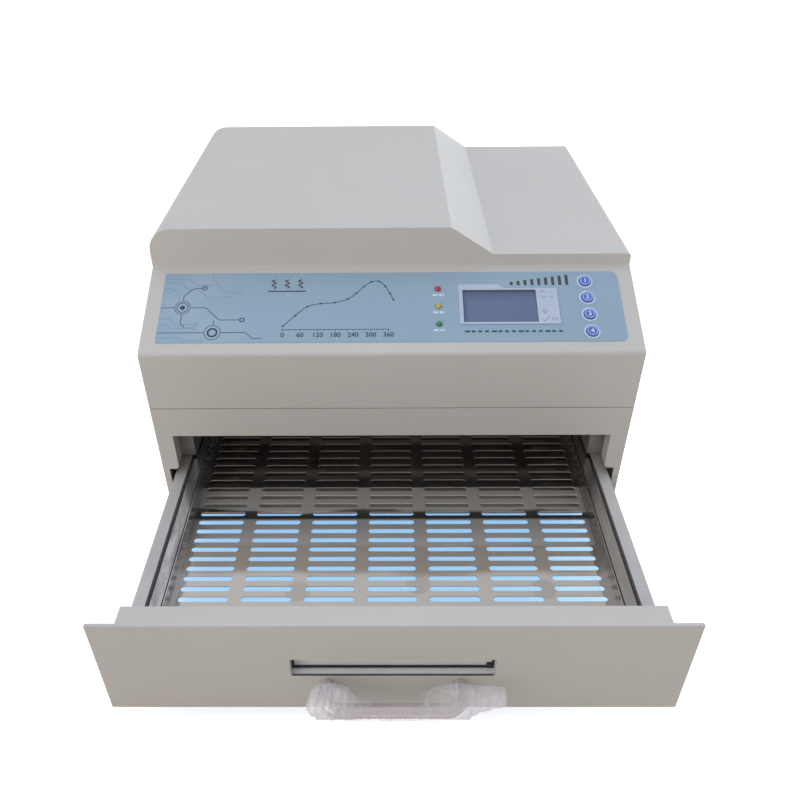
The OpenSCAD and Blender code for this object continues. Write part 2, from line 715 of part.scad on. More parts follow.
blade_n = 7;
module fan_frame(x, z, size) color(dark) translate([x, panel_in_y - fan_d, z]) difference() {
    union() {
        difference() {
            along_y(0, fan_d) translate([-size / 2, -size / 2]) polygon(outline([
                [0, 0, 4], [size, 0, 4], [size, size, 4], [0, size, 4]]));
            rod_y([0, -1, 0], size / 2 - 2, fan_d + 2);
        }
        rod_y([0, 0, 0], size / 5, 4);
        for (a = [45:90:315]) rotate([0, a, 0]) block([0, 0, -1.5], [size / 2, 3, 1.5]);
        rod_y([0, 3, 0], 1.5, fan_d - 9);
    }
    fan_corners(0, 0, size) rod_y([0, -1, 0], hole_r, fan_d + 2);
}
module fan_rotor(x, z, size) color(dark) translate([x, panel_in_y - fan_d, z]) difference() {
    union() {
        rod_y([0, 5, 0], size / 5, fan_d - 7);
        intersection() {
            for (i = [0:blade_n - 1]) rotate([0, i * 360 / blade_n, 0])
                translate([size / 5 - 2, fan_d / 2, 0]) rotate([42, 0, 0])
                    translate([0, -size / 4, -0.8]) cube([size, size / 2, 1.6]);
            rod_y([0, 6, 0], size / 2 - 3.2, fan_d - 9);
        }
    }
    rod_y([0, 4, 0], 1.55, fan_d - 8);
}
ring_n = 4;
wire_r = 0.9;
guard_p = 4.5;
// Wire finger guard: rings on four bent spokes, with an eye at each corner
module fan_guard(x, z, size) color(steel) translate([x, cab_d, z]) {
    for (i = [1:ring_n]) translate([0, guard_p - wire_r, 0]) rotate([90, 0, 0])
        rotate_extrude() translate([i * (size / 2 - 2) / ring_n, 0]) circle(r = wire_r, $fn = 16);
    c = size / 2 - 4.2;
    for (a = [45:90:315]) rotate([0, a, 0]) {
        rod_x([size / 2 / ring_n - 2, guard_p - 2.2 * wire_r, 0], wire_r, norm([c, c]) - size / 2 / ring_n - 1);
        rod_y([norm([c, c]) - 3, 1, 0], wire_r, guard_p - 1 - wire_r);
        translate([norm([c, c]), 0, 0]) difference() {
            rod_y([0, 0, 0], 4, 1.6);
            rod_y([0, -1, 0], hole_r, 4);
        }
    }
}
module exhaust_fan_frame() fan_frame(exhaust_x, exhaust_z, big_fan);
module exhaust_rotor() fan_rotor(exhaust_x, exhaust_z, big_fan);
module exhaust_guard() fan_guard(exhaust_x, exhaust_z, big_fan);
module cooling_fan_frame() fan_frame(cooling_x, cooling_z, small_fan);
module cooling_rotor() fan_rotor(cooling_x, cooling_z, small_fan);
module cooling_guard() fan_guard(cooling_x, cooling_z, small_fan);
module fan_screws() color(steel) {
    for (f = [[exhaust_x, exhaust_z, big_fan], [cooling_x, cooling_z, small_fan]])
        fan_corners(f.x, f.y, f.z) {
            rod_y([0, cab_d - 14, 0], screw_r, 15.7);
            rod_y([0, cab_d + 1.6, 0], 3.6, 2);
        }
}

// ---- Mains entry --------------------------------------------------------

// Three-pin appliance inlet with two fixing ears
module mains_inlet() translate([inlet_x, cab_d, inlet_z]) {
    color(dark) difference() {
        union() {
            along_y(0, 2.5) polygon(outline([[-25, -4, 3], [-14.5, -11.5, 2], [14.5, -11.5, 2],
                [25, -4, 3], [25, 4, 3], [14.5, 11.5, 2], [-14.5, 11.5, 2], [-25, 4, 3]]));
            block([-13.4, -26, -9.8], [13.4, eps, 9.8]);
        }
        along_y(-22, 30) polygon(outline([[-12, -8, 1], [12, -8, 1], [12, 3, 0],
            [7, 8, 0], [-7, 8, 0], [-12, 3, 0]]));
        for (x = [-1, 1]) rod_y([x * 20, -1, 0], 1.7, 5);
    }
    color(steel) for (p = [[-7, -1], [0, 3], [7, -1]])
        block([p.x - 1, -30, p.y - 2], [p.x + 1, -6, p.y + 2]);
}

rocker_tilt = 10;
module switch_housing() color(dark) translate([switch_x, cab_d, inlet_z]) difference() {
    union() {
        block([-10.6, 0, -7.5], [10.6, 2, 7.5]);
        block([-9.4, -20, -6.3], [9.4, eps, 6.3]);
    }
    block([-8.2, -13, -5.1], [8.2, 4, 5.1]);
    translate([0, -4, -7]) cylinder(r = 1.5, h = 14);
}
// Rocker on its own pivot pin, tipped to the off side
module power_rocker() color("#b5231f") translate([switch_x, cab_d - 4, inlet_z])
    rotate(-rocker_tilt) {
        translate([0, 0, -4.8]) linear_extrude(9.6)
            polygon([[-7.3, 5.2], [-7.3, -1], [-3, -4.5], [3, -4.5], [7.3, -1], [7.3, 5.2], [0, 4]]);
        translate([0, 0, -6.1]) cylinder(r = 1.45, h = 12.2);
    }

module fuse_holder() color(dark) translate([fuse_x, cab_d, inlet_z]) {
    rod_y([0, -30, 0], fuse_r - 0.2, 30 + eps);
    rod_y([0, 0, 0], 8.5, 2.2);
    difference() {
        rod_y([0, 2, 0], 6.6, fuse_l - 2);
        translate([-4.5, fuse_l - 1.5, -0.8]) cube([9, 3, 1.6]);
    }
}

// ---- Slides -------------------------------------------------------------

// A channel along Y: its web from x, its flanges reaching w towards the middle
module slide_channel(x, w, h, y0, l) {
    t = slide_t;
    along_y(y0, l) polygon([[x, slide_z - h / 2], [x, slide_z + h / 2],
        [x - w, slide_z + h / 2], [x - w, slide_z + h / 2 - t],
        [x - t, slide_z + h / 2 - t], [x - t, slide_z - h / 2 + t],
        [x - w, slide_z - h / 2 + t], [x - w, slide_z - h / 2]]);
}
slide_w = slide_x1 - slide_x0;
travel = drawer_open - 0.2;
race = 2.6;
mid_h = slide_h - 2 * slide_t - 2 * race;
inner_h = mid_h - 2 * slide_t - 2 * race;
mid_y0 = slide_y0 - travel / 2;
ball_n = 6;
cage_l = slide_l * 0.4;

module slide_brackets() color(zinc) both_sides() {
    t = slide_t;
    along_y(slide_y0 + 8, slide_l - 40) polygon([[slide_x1, slide_z - 14], [slide_x1 + t, slide_z - 14],
        [slide_x1 + t, slide_z + 13], [inner_w, slide_z + 13], [inner_w, slide_z + 14 + t],
        [slide_x1, slide_z + 14 + t]]);
}
module slide_outers() color(zinc) both_sides()
    slide_channel(slide_x1, slide_w - 2.5, slide_h, slide_y0, slide_l);
// One strip of caged balls that run between two flanges at height z
module ball_strip(x, y, z) {
    translate([x - 1.2, y, z - 0.3]) cube([2.4, cage_l, 0.6]);
    for (i = [0:ball_n - 1]) translate([x, y + (i + 0.5) * cage_l / ball_n, z])
        sphere(r = race / 2 - 0.1, $fn = 24);
}
module slide_mid(side) mirror([side, 0, 0]) {
    color(steel) slide_channel(slide_x1 - slide_t - 1, slide_w - slide_t - 3, mid_h, mid_y0, slide_l);
    color(zinc) for (s = [-1, 1]) {
        ball_strip(slide_x1 - slide_w / 2, mid_y0 + slide_l / 2 - 25, slide_z + s * (mid_h + race) / 2);
        ball_strip(slide_x0 + 4, mid_y0 + 25, slide_z + s * (inner_h + race) / 2);
    }
}
module slide_mid_left() slide_mid(1);
module slide_mid_right() slide_mid(0);
module slide_inners() color(steel) both_sides() {
    t = slide_t;
    x = slide_x0;
    along_y(back_y, slide_l) polygon([[x, slide_z - inner_h / 2], [x, slide_z + inner_h / 2],
        [x + slide_w - 6, slide_z + inner_h / 2], [x + slide_w - 6, slide_z + inner_h / 2 - t],
        [x + t, slide_z + inner_h / 2 - t], [x + t, slide_z - inner_h / 2 + t],
        [x + slide_w - 6, slide_z - inner_h / 2 + t], [x + slide_w - 6, slide_z - inner_h / 2]]);
}

// ---- Drawer -------------------------------------------------------------

// Flat front with a shallow folded box behind it
module drawer_front() color(paint) difference() {
    union() {
        block([-half_w, panel_y, panel_z0], [half_w, box_y, panel_z1]);
        difference() {
            block([-box_half, box_y - eps, panel_z0 + 2.4], [box_half, back_y, panel_z1]);
            block([-box_half + sheet, box_y, panel_z0 + 2.4 + sheet],
                  [box_half - sheet, back_y + 1, panel_z1 - sheet]);
        }
    }
    block([-window_w / 2, panel_y - 1, window_z0], [window_w / 2, box_y + 1, window_z1]);
    for (x = [-1, 1]) rod_y([x * handle_c / 2, panel_y - 1, handle_z], hole_r, 6);
}

module drawer_back_plate() color(steel) difference() {
    block([-box_half + sheet + fit, back_y - sheet, panel_z0 + 2.4 + sheet + fit],
          [box_half - sheet - fit, back_y, panel_z1 - sheet - fit]);
    block([-window_w / 2, back_y - 3, window_z0 - 2], [window_w / 2, back_y + 1, window_z1 + 4]);
}

sill = 4.4;
glass_t = 3;
module ring_block(y0, y1, grow, wall) difference() {
    block([-window_w / 2 - grow - wall, y0, window_z0 - grow - wall],
          [window_w / 2 + grow + wall, y1, window_z1 + grow + wall]);
    block([-window_w / 2 - grow, y0 - 1, window_z0 - grow],
          [window_w / 2 + grow, y1 + 1, window_z1 + grow]);
}
module window_frame() color("#b9bdba") ring_block(box_y, box_y + sill, 0, 2.5);
module window_seal() color(dark) ring_block(box_y + sill, box_y + sill + 1, -0.8, 3);
module window_glass() color("#a9b4b2")
    block([-window_w / 2 - 2.2, box_y + sill + 1, window_z0 - 2.2],
          [window_w / 2 + 2.2, box_y + sill + 1 + glass_t, window_z1 + 2.2]);
module inner_glass() color("#a9b4b2")
    block([-window_w / 2 - 6, back_y - sheet - glass_t, window_z0 - 6],
          [window_w / 2 + 6, back_y - sheet, window_z1 + 8]);

// Bow handle bent from round rod
bow_r = 11;
module handle() color("#b4b1b3") {
    rod_x([-handle_c / 2 + bow_r, handle_y, handle_z], handle_r, handle_c - 2 * bow_r);
    both_sides() {
        translate([handle_c / 2 - bow_r, handle_y + bow_r, handle_z]) intersection() {
            rotate_extrude() translate([bow_r, 0]) circle(r = handle_r);
            translate([0, -2 * bow_r, -bow_r]) cube(2 * bow_r);
        }
        difference() {
            rod_y([handle_c / 2, handle_y + bow_r - eps, handle_z], handle_r, handle_p - bow_r + eps);
            rod_y([handle_c / 2, panel_y - 8, handle_z], screw_r + 0.1, 9);
        }
    }
}
module handle_screws() color(steel) both_sides() {
    rod_y([handle_c / 2, panel_y - 7, handle_z], screw_r, panel_t + 7);
    rod_y([handle_c / 2, box_y, handle_z], 3.4, 2.2);
}
// Loose film sleeve round the handle rod, open towards the panel
film_x0 = -handle_c / 2 - 9;
film_x1 = handle_c / 2 + 31;
module handle_film() color("#dfe3e6") difference() {
    rod_x([film_x0, handle_y, handle_z], film_r, film_x1 - film_x0);
    rod_x([film_x0 - 1, handle_y, handle_z], handle_r + 0.4, film_x1 - film_x0 + 2);
    block([film_x0 - 1, handle_y + 0.9, handle_z - 10], [film_x1 + 1, handle_y + 10, handle_z + 10]);
}

// Side rails with an outward top flange and a tab that is welded to the box
module drawer_rails() color(zinc) both_sides() {
    along_y(back_y, rail_l) polygon([[rail_x, tray_z - 16], [rail_x + sheet, tray_z - 16],
        [rail_x + sheet, rim_z - sheet], [rail_x + rail_flange, rim_z - sheet],
        [rail_x + rail_flange, rim_z], [rail_x, rim_z]]);
    block([rail_x - 40, back_y, tray_z - 16], [rail_x + eps, back_y + sheet, tray_z - 4]);
}

module drawer_rear_bar() color(zinc) difference() {
    block([-rail_x, rail_y1 - bar_w, tray_z - 14], [rail_x, rail_y1, rim_z - 4]);
    block([-rail_x - 1, rail_y1 - bar_w + sheet, tray_z - 14 + sheet],
          [rail_x + 1, rail_y1 + 1, rim_z - 4 - sheet]);
}

// Polished frame that the tray drops into: its rim, walls and the ledge under the tray
rim_in = tray_half + 0.8;
ledge_in = tray_half - 3.6;
bar_d = 8;
module tray_frame() color(steel) {
    both_sides() along_y(back_y, rail_l - bar_w) polygon([
        [rim_in, rim_z - 1], [frame_half - 1, rim_z - 1], [frame_half - 1, tray_z - 1],
        [ledge_in, tray_z - 1], [ledge_in, tray_z - 2], [rail_x, tray_z - 2],
        [rail_x, tray_z - 1], [frame_half, tray_z - 1], [frame_half, rim_z], [rim_in, rim_z]]);
    for (y = [back_y, rail_y1 - bar_w - bar_d])
        block([-ledge_in - eps, y, tray_z - 2], [ledge_in + eps, y + bar_d, tray_z - 1]);
}

row_n = floor((tray_y1 - tray_y0 - 10) / slot_py);
col_n = floor((2 * tray_half - 8) / slot_px + 0.35);
row_y0 = (tray_y0 + tray_y1) / 2 - (row_n - 1) * slot_py / 2;
module tray() color("#b7b5b1") difference() {
    union() {
        block([-tray_half, tray_y0, tray_z - 1], [tray_half, tray_y1, tray_z]);
        both_sides() block([tray_half - 1, tray_y0, tray_z - 1], [tray_half, tray_y1, rim_z]);
        for (y = [tray_y0, tray_y1 - 1])
            block([-tray_half, y, tray_z - 1], [tray_half, y + 1, tray_z + 9]);
    }
    translate([0, 0, tray_z - 3]) linear_extrude(5) for (i = [0:col_n - 1], j = [0:row_n - 1])
        translate([(i - (col_n - 1) / 2) * slot_px, row_y0 + j * slot_py]) slot();
}
module slot() {
    c = slot_l / 2 - slot_w / 2;
    for (x = [-c, c]) translate([x, 0]) circle(r = slot_w / 2, $fn = 24);
    translate([-c, -slot_w / 2]) square([2 * c, slot_w]);
}

place() base_shell();
place() floor_plate();
place() rear_panel();
place() hood_shell();
place() case_screws();
place() feet();
place() foot_screws();
place() control_label();
place() display_bezel();
place() display_glass();
place() display_module();
place() front_board();
place() status_leds();
place() key_1();
place() key_2();
place() key_3();
place() key_4();
place() chamber_liner();
place() chamber_hangers();
place() insulation_board();
place() heat_shield();
place() heater_tubes();
place() heater_filaments();
place() heater_sockets();
place() thermocouple();
place() circulation_motor();
place() circulation_impeller();
place() control_board();
place() board_standoffs();
place() transformer();
place() relay_heatsink();
place() exhaust_fan_frame();
place() exhaust_rotor();
place() exhaust_guard();
place() cooling_fan_frame();
place() cooling_rotor();
place() cooling_guard();
place() fan_screws();
place() mains_inlet();
place() switch_housing();
place() power_rocker();
place() fuse_holder();
place() slide_brackets();
place() slide_outers();
place() slide_mid_left();
place() slide_mid_right();
place() slide_inners();
place() drawer_front();
place() drawer_back_plate();
place() window_frame();
place() window_seal();
place() window_glass();
place() inner_glass();
place() handle();
place() handle_screws();
place() handle_film();
place() drawer_rails();
place() drawer_rear_bar();
place() tray_frame();
place() tray();
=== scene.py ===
"""Bench reflow oven: a painted sheet-metal cabinet with a pull-out drawer and its tray.

Lengths are in metres. X runs to the right, Y to the rear and Z up.
"""
import math

import bmesh
import bpy
from mathutils import Matrix, Vector, noise


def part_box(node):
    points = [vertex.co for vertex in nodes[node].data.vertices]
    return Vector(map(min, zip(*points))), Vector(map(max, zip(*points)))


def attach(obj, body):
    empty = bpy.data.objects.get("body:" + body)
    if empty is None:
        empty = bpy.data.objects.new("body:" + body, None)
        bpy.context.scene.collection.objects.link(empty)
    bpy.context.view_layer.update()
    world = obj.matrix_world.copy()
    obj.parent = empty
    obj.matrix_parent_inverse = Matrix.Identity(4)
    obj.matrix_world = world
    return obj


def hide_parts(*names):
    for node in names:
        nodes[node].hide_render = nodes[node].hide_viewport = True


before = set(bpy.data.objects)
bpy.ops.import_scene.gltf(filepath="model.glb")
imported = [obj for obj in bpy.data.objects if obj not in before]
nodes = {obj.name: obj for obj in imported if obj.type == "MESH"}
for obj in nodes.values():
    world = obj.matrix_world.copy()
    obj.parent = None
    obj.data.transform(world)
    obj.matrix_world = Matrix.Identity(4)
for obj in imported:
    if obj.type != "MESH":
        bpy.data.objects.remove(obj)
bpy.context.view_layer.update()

# ---- Studio -------------------------------------------------------------------------------
# A white table that keeps a pale blue tone in deep shade, a wide cool sky from above and
# behind, a window on the right and a warm fill on the left. The camera looks down on the
# pulled-out drawer.
lens_pixels = 756.8
image_pixels = 800.0
optical_centre = (379.7, 368.6)
camera_place = Vector((-0.0032, -0.5930, 0.5440))
tilt, turn, roll = (math.radians(angle) for angle in (34.69, -0.69, -0.64))


def placed(name, data):
    """A new object in the scene for some data."""
    made = bpy.data.objects.new(name, data)
    bpy.context.scene.collection.objects.link(made)
    return made


camera = placed("camera", bpy.data.cameras.new("camera"))
camera.data.sensor_width = 36.0
camera.data.lens = camera.data.sensor_width * lens_pixels / image_pixels
camera.data.shift_x = 0.5 - optical_centre[0] / image_pixels
camera.data.shift_y = optical_centre[1] / image_pixels - 0.5
ahead = Vector((math.sin(turn) * math.cos(tilt), math.cos(turn) * math.cos(tilt), -math.sin(tilt)))
level = Vector((math.cos(turn), -math.sin(turn), 0.0))
upright = level.cross(ahead)
right = level * math.cos(roll) + upright * math.sin(roll)
up = upright * math.cos(roll) - level * math.sin(roll)
camera.matrix_world = Matrix.Translation(camera_place) @ Matrix((right, up, -ahead)).transposed().to_4x4()
bpy.context.scene.camera = camera
bpy.context.scene.view_settings.view_transform = "Standard"


def feed(node, inputs):
    """Gives a node's inputs a value, a socket, or the first output of another node."""
    for key, value in inputs.items():
        if isinstance(value, bpy.types.Node):
            value = next(socket for socket in value.outputs if socket.enabled)
        if isinstance(value, bpy.types.NodeSocket):
            node.id_data.links.new(value, node.inputs[key])
        else:
            node.inputs[key].default_value = value


def tree_node(tree, kind, inputs=None, **settings):
    """A node with its settings and its inputs fed."""
    made = tree.nodes.new(kind)
    for key, value in settings.items():
        setattr(made, key, value)
    feed(made, inputs or {})
    return made


def shader_node(tree, kind, inputs=None, **settings):
    """A shader node by its short name."""
    return tree_node(tree, "ShaderNode" + kind, inputs, **settings)


def maths(tree, operation, *values, **settings):
    """A Math node on up to three values."""
    return shader_node(tree, "Math", dict(enumerate(values)), operation=operation, **settings)


def span(tree, value, low, high, start=0.0, end=1.0, **settings):
    """Maps a value's stretch from low to high onto start to end, and holds it there."""
    return shader_node(tree, "MapRange", {
        "Value": value, "From Min": low, "From Max": high, "To Min": start, "To Max": end}, **settings)


def axes_of(tree, vector):
    """The X, Y and Z of a vector."""
    return shader_node(tree, "SeparateXYZ", {0: vector}).outputs


world = bpy.data.worlds.new("studio")
bpy.context.scene.world = world
world.use_nodes = True
room = world.node_tree
sky = shader_node(room, "TexCoord")
depth = axes_of(room, sky.outputs["Generated"])
front_light, rear_light, left_light, right_light = 0.55, 0.60, 1.24, 0.66
glow = span(room, depth["Y"], -1.0, 1.0, front_light, rear_light)
side = span(room, depth["X"], -1.0, 1.0, left_light, right_light)
even = maths(room, "MULTIPLY", glow, side)
sight = shader_node(room, "LightPath")
level_seen = shader_node(room, "Mix", {"Factor": sight.outputs["Is Camera Ray"], 2: even, 3: 1.0})
feed(room.nodes["Background"], {"Color": (1.0, 0.97, 0.945, 1.0), "Strength": level_seen})


def lamp(name, kind, place, aim, size, power, colour, shines=True):
    """A soft lamp that faces a point: a square one, or a wide patch of sky."""
    light = bpy.data.lights.new(name, kind)
    light.energy, light.color = power, colour
    if kind == "SUN":
        light.angle = size
    else:
        light.size = size
    holder = placed(name, light)
    holder.visible_camera, holder.visible_glossy = False, shines
    holder.location = place
    holder.rotation_mode = "QUATERNION"
    holder.rotation_quaternion = (Vector(aim) - Vector(place)).to_track_quat("-Z", "Y")


lamp("sky", "SUN", (-0.45, 0.55, 3.0), (0.0, 0.0, 0.0), math.radians(70.0), 1.25, (0.58, 0.74, 1.0), False)
lamp("window", "AREA", (2.15, 0.90, 0.42), (0.0, 0.05, 0.18), 1.3, 63.0, (0.82, 0.91, 1.0), False)
lamp("fill", "AREA", (-1.7, -1.65, 0.85), (0.0, 0.0, 0.1), 1.3, 13.0, (1.0, 0.96, 0.91))


def on_piece(tree):
    """A place on the piece, in its own metres."""
    return shader_node(tree, "TexCoord").outputs["Object"]


def blend(tree, factor, first, second):
    """Mixes two colours, each given as red, green and blue or by the node that makes it."""
    first, second = ((*tone, 1.0) if isinstance(tone, tuple) else tone for tone in (first, second))
    return shader_node(tree, "Mix", {"Factor": factor, "A": first, "B": second}, data_type="RGBA")


table_half, table_z = 14.0, -0.0003
table_mesh = bpy.data.meshes.new("table")
table_mesh.from_pydata(
    [(x * table_half, y * table_half, table_z) for x, y in ((-1, -1), (1, -1), (1, 1), (-1, 1))],
    [],
    [(0, 1, 2, 3)],
)
table = placed("table", table_mesh)
table_white = bpy.data.materials.new("table_white")
table_white.use_nodes = True
table_tree = table_white.node_tree
path = shader_node(table_tree, "LightPath")
seen_white = blend(table_tree, path.outputs["Is Camera Ray"], (0.70, 0.64, 0.58), (1.0, 0.86, 0.62))
open_table = table_tree.nodes["Principled BSDF"]
feed(open_table, {"Base Color": seen_white})
shaded_table = shader_node(table_tree, "BsdfPrincipled", {"Base Color": (0.66, 0.66, 0.5, 1.0)})
for shader, tone in ((open_table, (0.52, 0.60, 0.74, 1.0)), (shaded_table, (0.21, 0.48, 0.82, 1.0))):
    feed(shader, {
        "Roughness": 0.9, "Specular IOR Level": 0.0, "Emission Color": tone,
        "Emission Strength": path.outputs["Is Camera Ray"]})
table_xyz = axes_of(table_tree, on_piece(table_tree))
from_middle = maths(table_tree, "ABSOLUTE", table_xyz["X"])
beside = span(table_tree, from_middle, 0.189, 0.197)
in_front = span(table_tree, table_xyz["Y"], -0.20, -0.18, 1.0, 0.0)
behind = span(table_tree, table_xyz["Y"], -0.05, -0.02)
at_ends = maths(table_tree, "MAXIMUM", in_front, behind)
around = maths(table_tree, "MAXIMUM", beside, at_ends)
bounced = maths(table_tree, "SUBTRACT", 1.0, path.outputs["Is Camera Ray"])
outside = maths(table_tree, "MAXIMUM", around, bounced)
cover = shader_node(table_tree, "AmbientOcclusion", {"Distance": 0.25}, samples=24)
bare = span(table_tree, cover.outputs["AO"], 0.44, 0.54)
under_drawer = shader_node(table_tree, "MixShader", {0: bare, 1: shaded_table, 2: open_table})
whole_table = shader_node(table_tree, "MixShader", {0: outside, 1: under_drawer, 2: open_table})
feed(table_tree.nodes["Material Output"], {"Surface": whole_table})
table_mesh.materials.append(table_white)

# ---- Painted casing -----------------------------------------------------------------------
# Hood, base, rear panel, floor and drawer front are folded 1.2 mm steel sheet under a warm
# grey powder coat. The coat has a fine orange-peel texture and rounds every fold.


def effect(name, inputs, outputs):
    """An empty shader group with named sockets, and its input and output nodes."""
    group = bpy.data.node_groups.new(name, "ShaderNodeTree")
    for label, kind, value in inputs:
        group.interface.new_socket(label, in_out="INPUT", socket_type=kind).default_value = value
    for label, kind in outputs:
        group.interface.new_socket(label, in_out="OUTPUT", socket_type=kind)
    return group, group.nodes.new("NodeGroupInput").outputs, group.nodes.new("NodeGroupOutput")


def speckle(tree, place, scale, detail):
    """Noise over a place."""
    return shader_node(tree, "TexNoise", {"Vector": place, "Scale": scale, "Detail": detail})


def bump(tree, height, distance, strength=1.0):
    """A relief's normals."""
    return shader_node(tree, "Bump", {"Height": height, "Distance": distance, "Strength": strength})


def use(tree, group, **inputs):
    """A shader group in a tree, with its own sizes."""
    return shader_node(tree, "Group", inputs, node_tree=group)


NUMBER, DIRECTION = "NodeSocketFloat", "NodeSocketVector"

# Fine relief of a coat, a moulding or a casting
grain, grain_in, grain_out = effect(
    "surface_grain", [("Size", NUMBER, 900.0), ("Depth", NUMBER, 0.00002)],
    [("Normal", DIRECTION)])
specks = speckle(grain, on_piece(grain), grain_in["Size"], 2.0)
feed(grain_out, {"Normal": bump(grain, specks, grain_in["Depth"])})

# Slow changes of tone: uneven coats, handling and dust
cast, cast_in, cast_out = effect(
    "uneven_tone", [("Size", NUMBER, 9.0), ("Sharpness", NUMBER, 0.2)], [("Mask", NUMBER)])
clouds = speckle(cast, on_piece(cast), cast_in["Size"], 5.0)
low = maths(cast, "SUBTRACT", 0.5, cast_in["Sharpness"])
high = maths(cast, "ADD", 0.5, cast_in["Sharpness"])
feed(cast_out, {"Mask": span(cast, clouds, low, high)})

# Edge colour, partly wear and partly a painted highlight: where the surface turns within a short radius,
# broken up by noise
edge_wear_highlight, edge_wear_highlight_in, edge_wear_highlight_out = effect(
    "edge_wear_and_highlight", [("Radius", NUMBER, 0.001), ("Breakup", NUMBER, 160.0)], [("Mask", NUMBER)])
turned = shader_node(edge_wear_highlight, "Bevel", {"Radius": edge_wear_highlight_in["Radius"]}, samples=4)
flat = shader_node(edge_wear_highlight, "NewGeometry")
lean = shader_node(edge_wear_highlight, "VectorMath", {
    0: turned.outputs["Normal"], 1: flat.outputs["Normal"]}, operation="DOT_PRODUCT")
edge = span(edge_wear_highlight, lean, 0.99, 0.86)
chips = speckle(edge_wear_highlight, on_piece(edge_wear_highlight), edge_wear_highlight_in["Breakup"], 3.0)
worn = span(edge_wear_highlight, chips, 0.42, 0.62)
feed(edge_wear_highlight_out, {"Mask": maths(edge_wear_highlight, "MULTIPLY", edge, worn)})

# Thin sheet that sags behind its front end and has slow waves or dents
bowed, bowed_in, bowed_out = effect(
    "bowed_sheet", [("Size", NUMBER, 14.0), ("Depth", NUMBER, 0.0006), ("Sag", NUMBER, 0.065),
                    ("Front", NUMBER, 0.135), ("Length", NUMBER, 0.03)],
    [("Normal", DIRECTION)])
place = on_piece(bowed)
along = axes_of(bowed, place)
past = maths(bowed, "ADD", along["Y"], bowed_in["Front"])
droop = maths(bowed, "SMOOTH_MIN", past, 0.0, bowed_in["Length"])
waves = speckle(bowed, place, bowed_in["Size"], 1.0)
wave_height = maths(bowed, "MULTIPLY", waves, bowed_in["Depth"])
sagged = maths(bowed, "MULTIPLY_ADD", droop, bowed_in["Sag"], wave_height)
feed(bowed_out, {"Normal": bump(bowed, sagged, 1.0)})


def blank(name, roughness, metallic=0.0):
    """A new material with plain roughness and metallic, its tree and its shader."""
    material = bpy.data.materials.new(name)
    material.use_nodes = True
    shader = material.node_tree.nodes["Principled BSDF"]
    feed(shader, {"Roughness": roughness, "Metallic": metallic})
    return material, material.node_tree, shader


def coat(name, colour, second, roughness, metallic=0.0, grain_size=900.0, depth=0.00002,
         clouds=9.0, edge_wear_highlight_colour=None, edge_radius=0.0008):
    """A finish with two close tones, fine relief, and an edge colour that is partly wear and partly a painted
    highlight.
    """
    material, tree, shader = blank(name, roughness, metallic)
    texture = use(tree, grain, Size=grain_size, Depth=depth)
    tone = use(tree, cast, Size=clouds)
    result = blend(tree, tone, colour, second)
    if edge_wear_highlight_colour:
        # Edges: partly wear, partly a painted highlight
        edge_wear_highlight_mask = use(tree, edge_wear_highlight, Radius=edge_radius)
        result = blend(tree, edge_wear_highlight_mask, result, edge_wear_highlight_colour)
    sheen = span(tree, tone, 0.0, 1.0, roughness * 0.92, min(1.0, roughness * 1.1))
    feed(shader, {"Base Color": result, "Roughness": sheen, "Normal": texture})
    return material


def dress(material, *names):
    """Gives CAD nodes a finish."""
    for name in names:
        finishes = nodes[name].data.materials
        for slot in range(len(finishes)):
            finishes[slot] = material
        if not finishes:
            finishes.append(material)


def fixed(piece, body, slot, *stands_for):
    """Carries a finished piece with a body, in place of nodes. The slot argument is not used."""
    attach(piece, body)
    if stands_for:
        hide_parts(*stands_for)
    return piece


def piece_of(name, mesh, material):
    """A piece in its material from a built mesh, which is freed."""
    data = bpy.data.meshes.new(name)
    mesh.to_mesh(data)
    mesh.free()
    data.materials.append(material)
    return placed(name, data)


def settled(piece):
    """The mesh of an object after its modifiers."""
    return bpy.data.meshes.new_from_object(piece.evaluated_get(bpy.context.evaluated_depsgraph_get()))


same_place = 1e-6
flat_angle, fold_angle, shade_angle = (math.radians(angle) for angle in (0.5, 20.0, 35.0))


def softened(node, name, radius, material, body, slot, steps=2):
    """A copy of a node's mesh with merged faces and rounded edges, which stands for the node."""
    piece = placed(name, nodes[node].data.copy())
    mesh = bmesh.new()
    mesh.from_mesh(piece.data)
    bmesh.ops.remove_doubles(mesh, verts=mesh.verts, dist=same_place)
    bmesh.ops.dissolve_limit(mesh, angle_limit=flat_angle, verts=mesh.verts, edges=mesh.edges)
    sharp = [e for e in mesh.edges if len(e.link_faces) == 2 and e.calc_face_angle() > fold_angle]
    bmesh.ops.bevel(
        mesh, geom=sharp, offset=radius, segments=steps, profile=0.5, affect="EDGES", clamp_overlap=True)
    for face in mesh.faces:
        face.smooth = True
    for line in mesh.edges:
        line.smooth = len(line.link_faces) != 2 or line.calc_face_angle() < shade_angle
    mesh.to_mesh(piece.data)
    mesh.free()
    piece.data.materials.clear()
    piece.data.materials.append(material)
    piece.modifiers.new("flat_faces", "WEIGHTED_NORMAL").keep_sharp = True
    piece.data = settled(piece)
    piece.modifiers.clear()
    return fixed(piece, body, slot, node)


def plates(name, corners, radius, material, body, slot, *stands_for):
    """One piece of plates, each between two corners, with rounded edges."""
    mesh = bmesh.new()
    for low_corner, high_corner in corners:
        for corner in bmesh.ops.create_cube(mesh, size=1.0)["verts"]:
            corner.co = [low + (part + 0.5) * (high - low)
                         for low, part, high in zip(low_corner, corner.co, high_corner)]
    bmesh.ops.bevel(mesh, geom=mesh.edges[:], offset=radius, segments=2, profile=0.5, affect="EDGES",
                    clamp_overlap=True)
    return fixed(piece_of(name, mesh, material), body, slot, *stands_for)


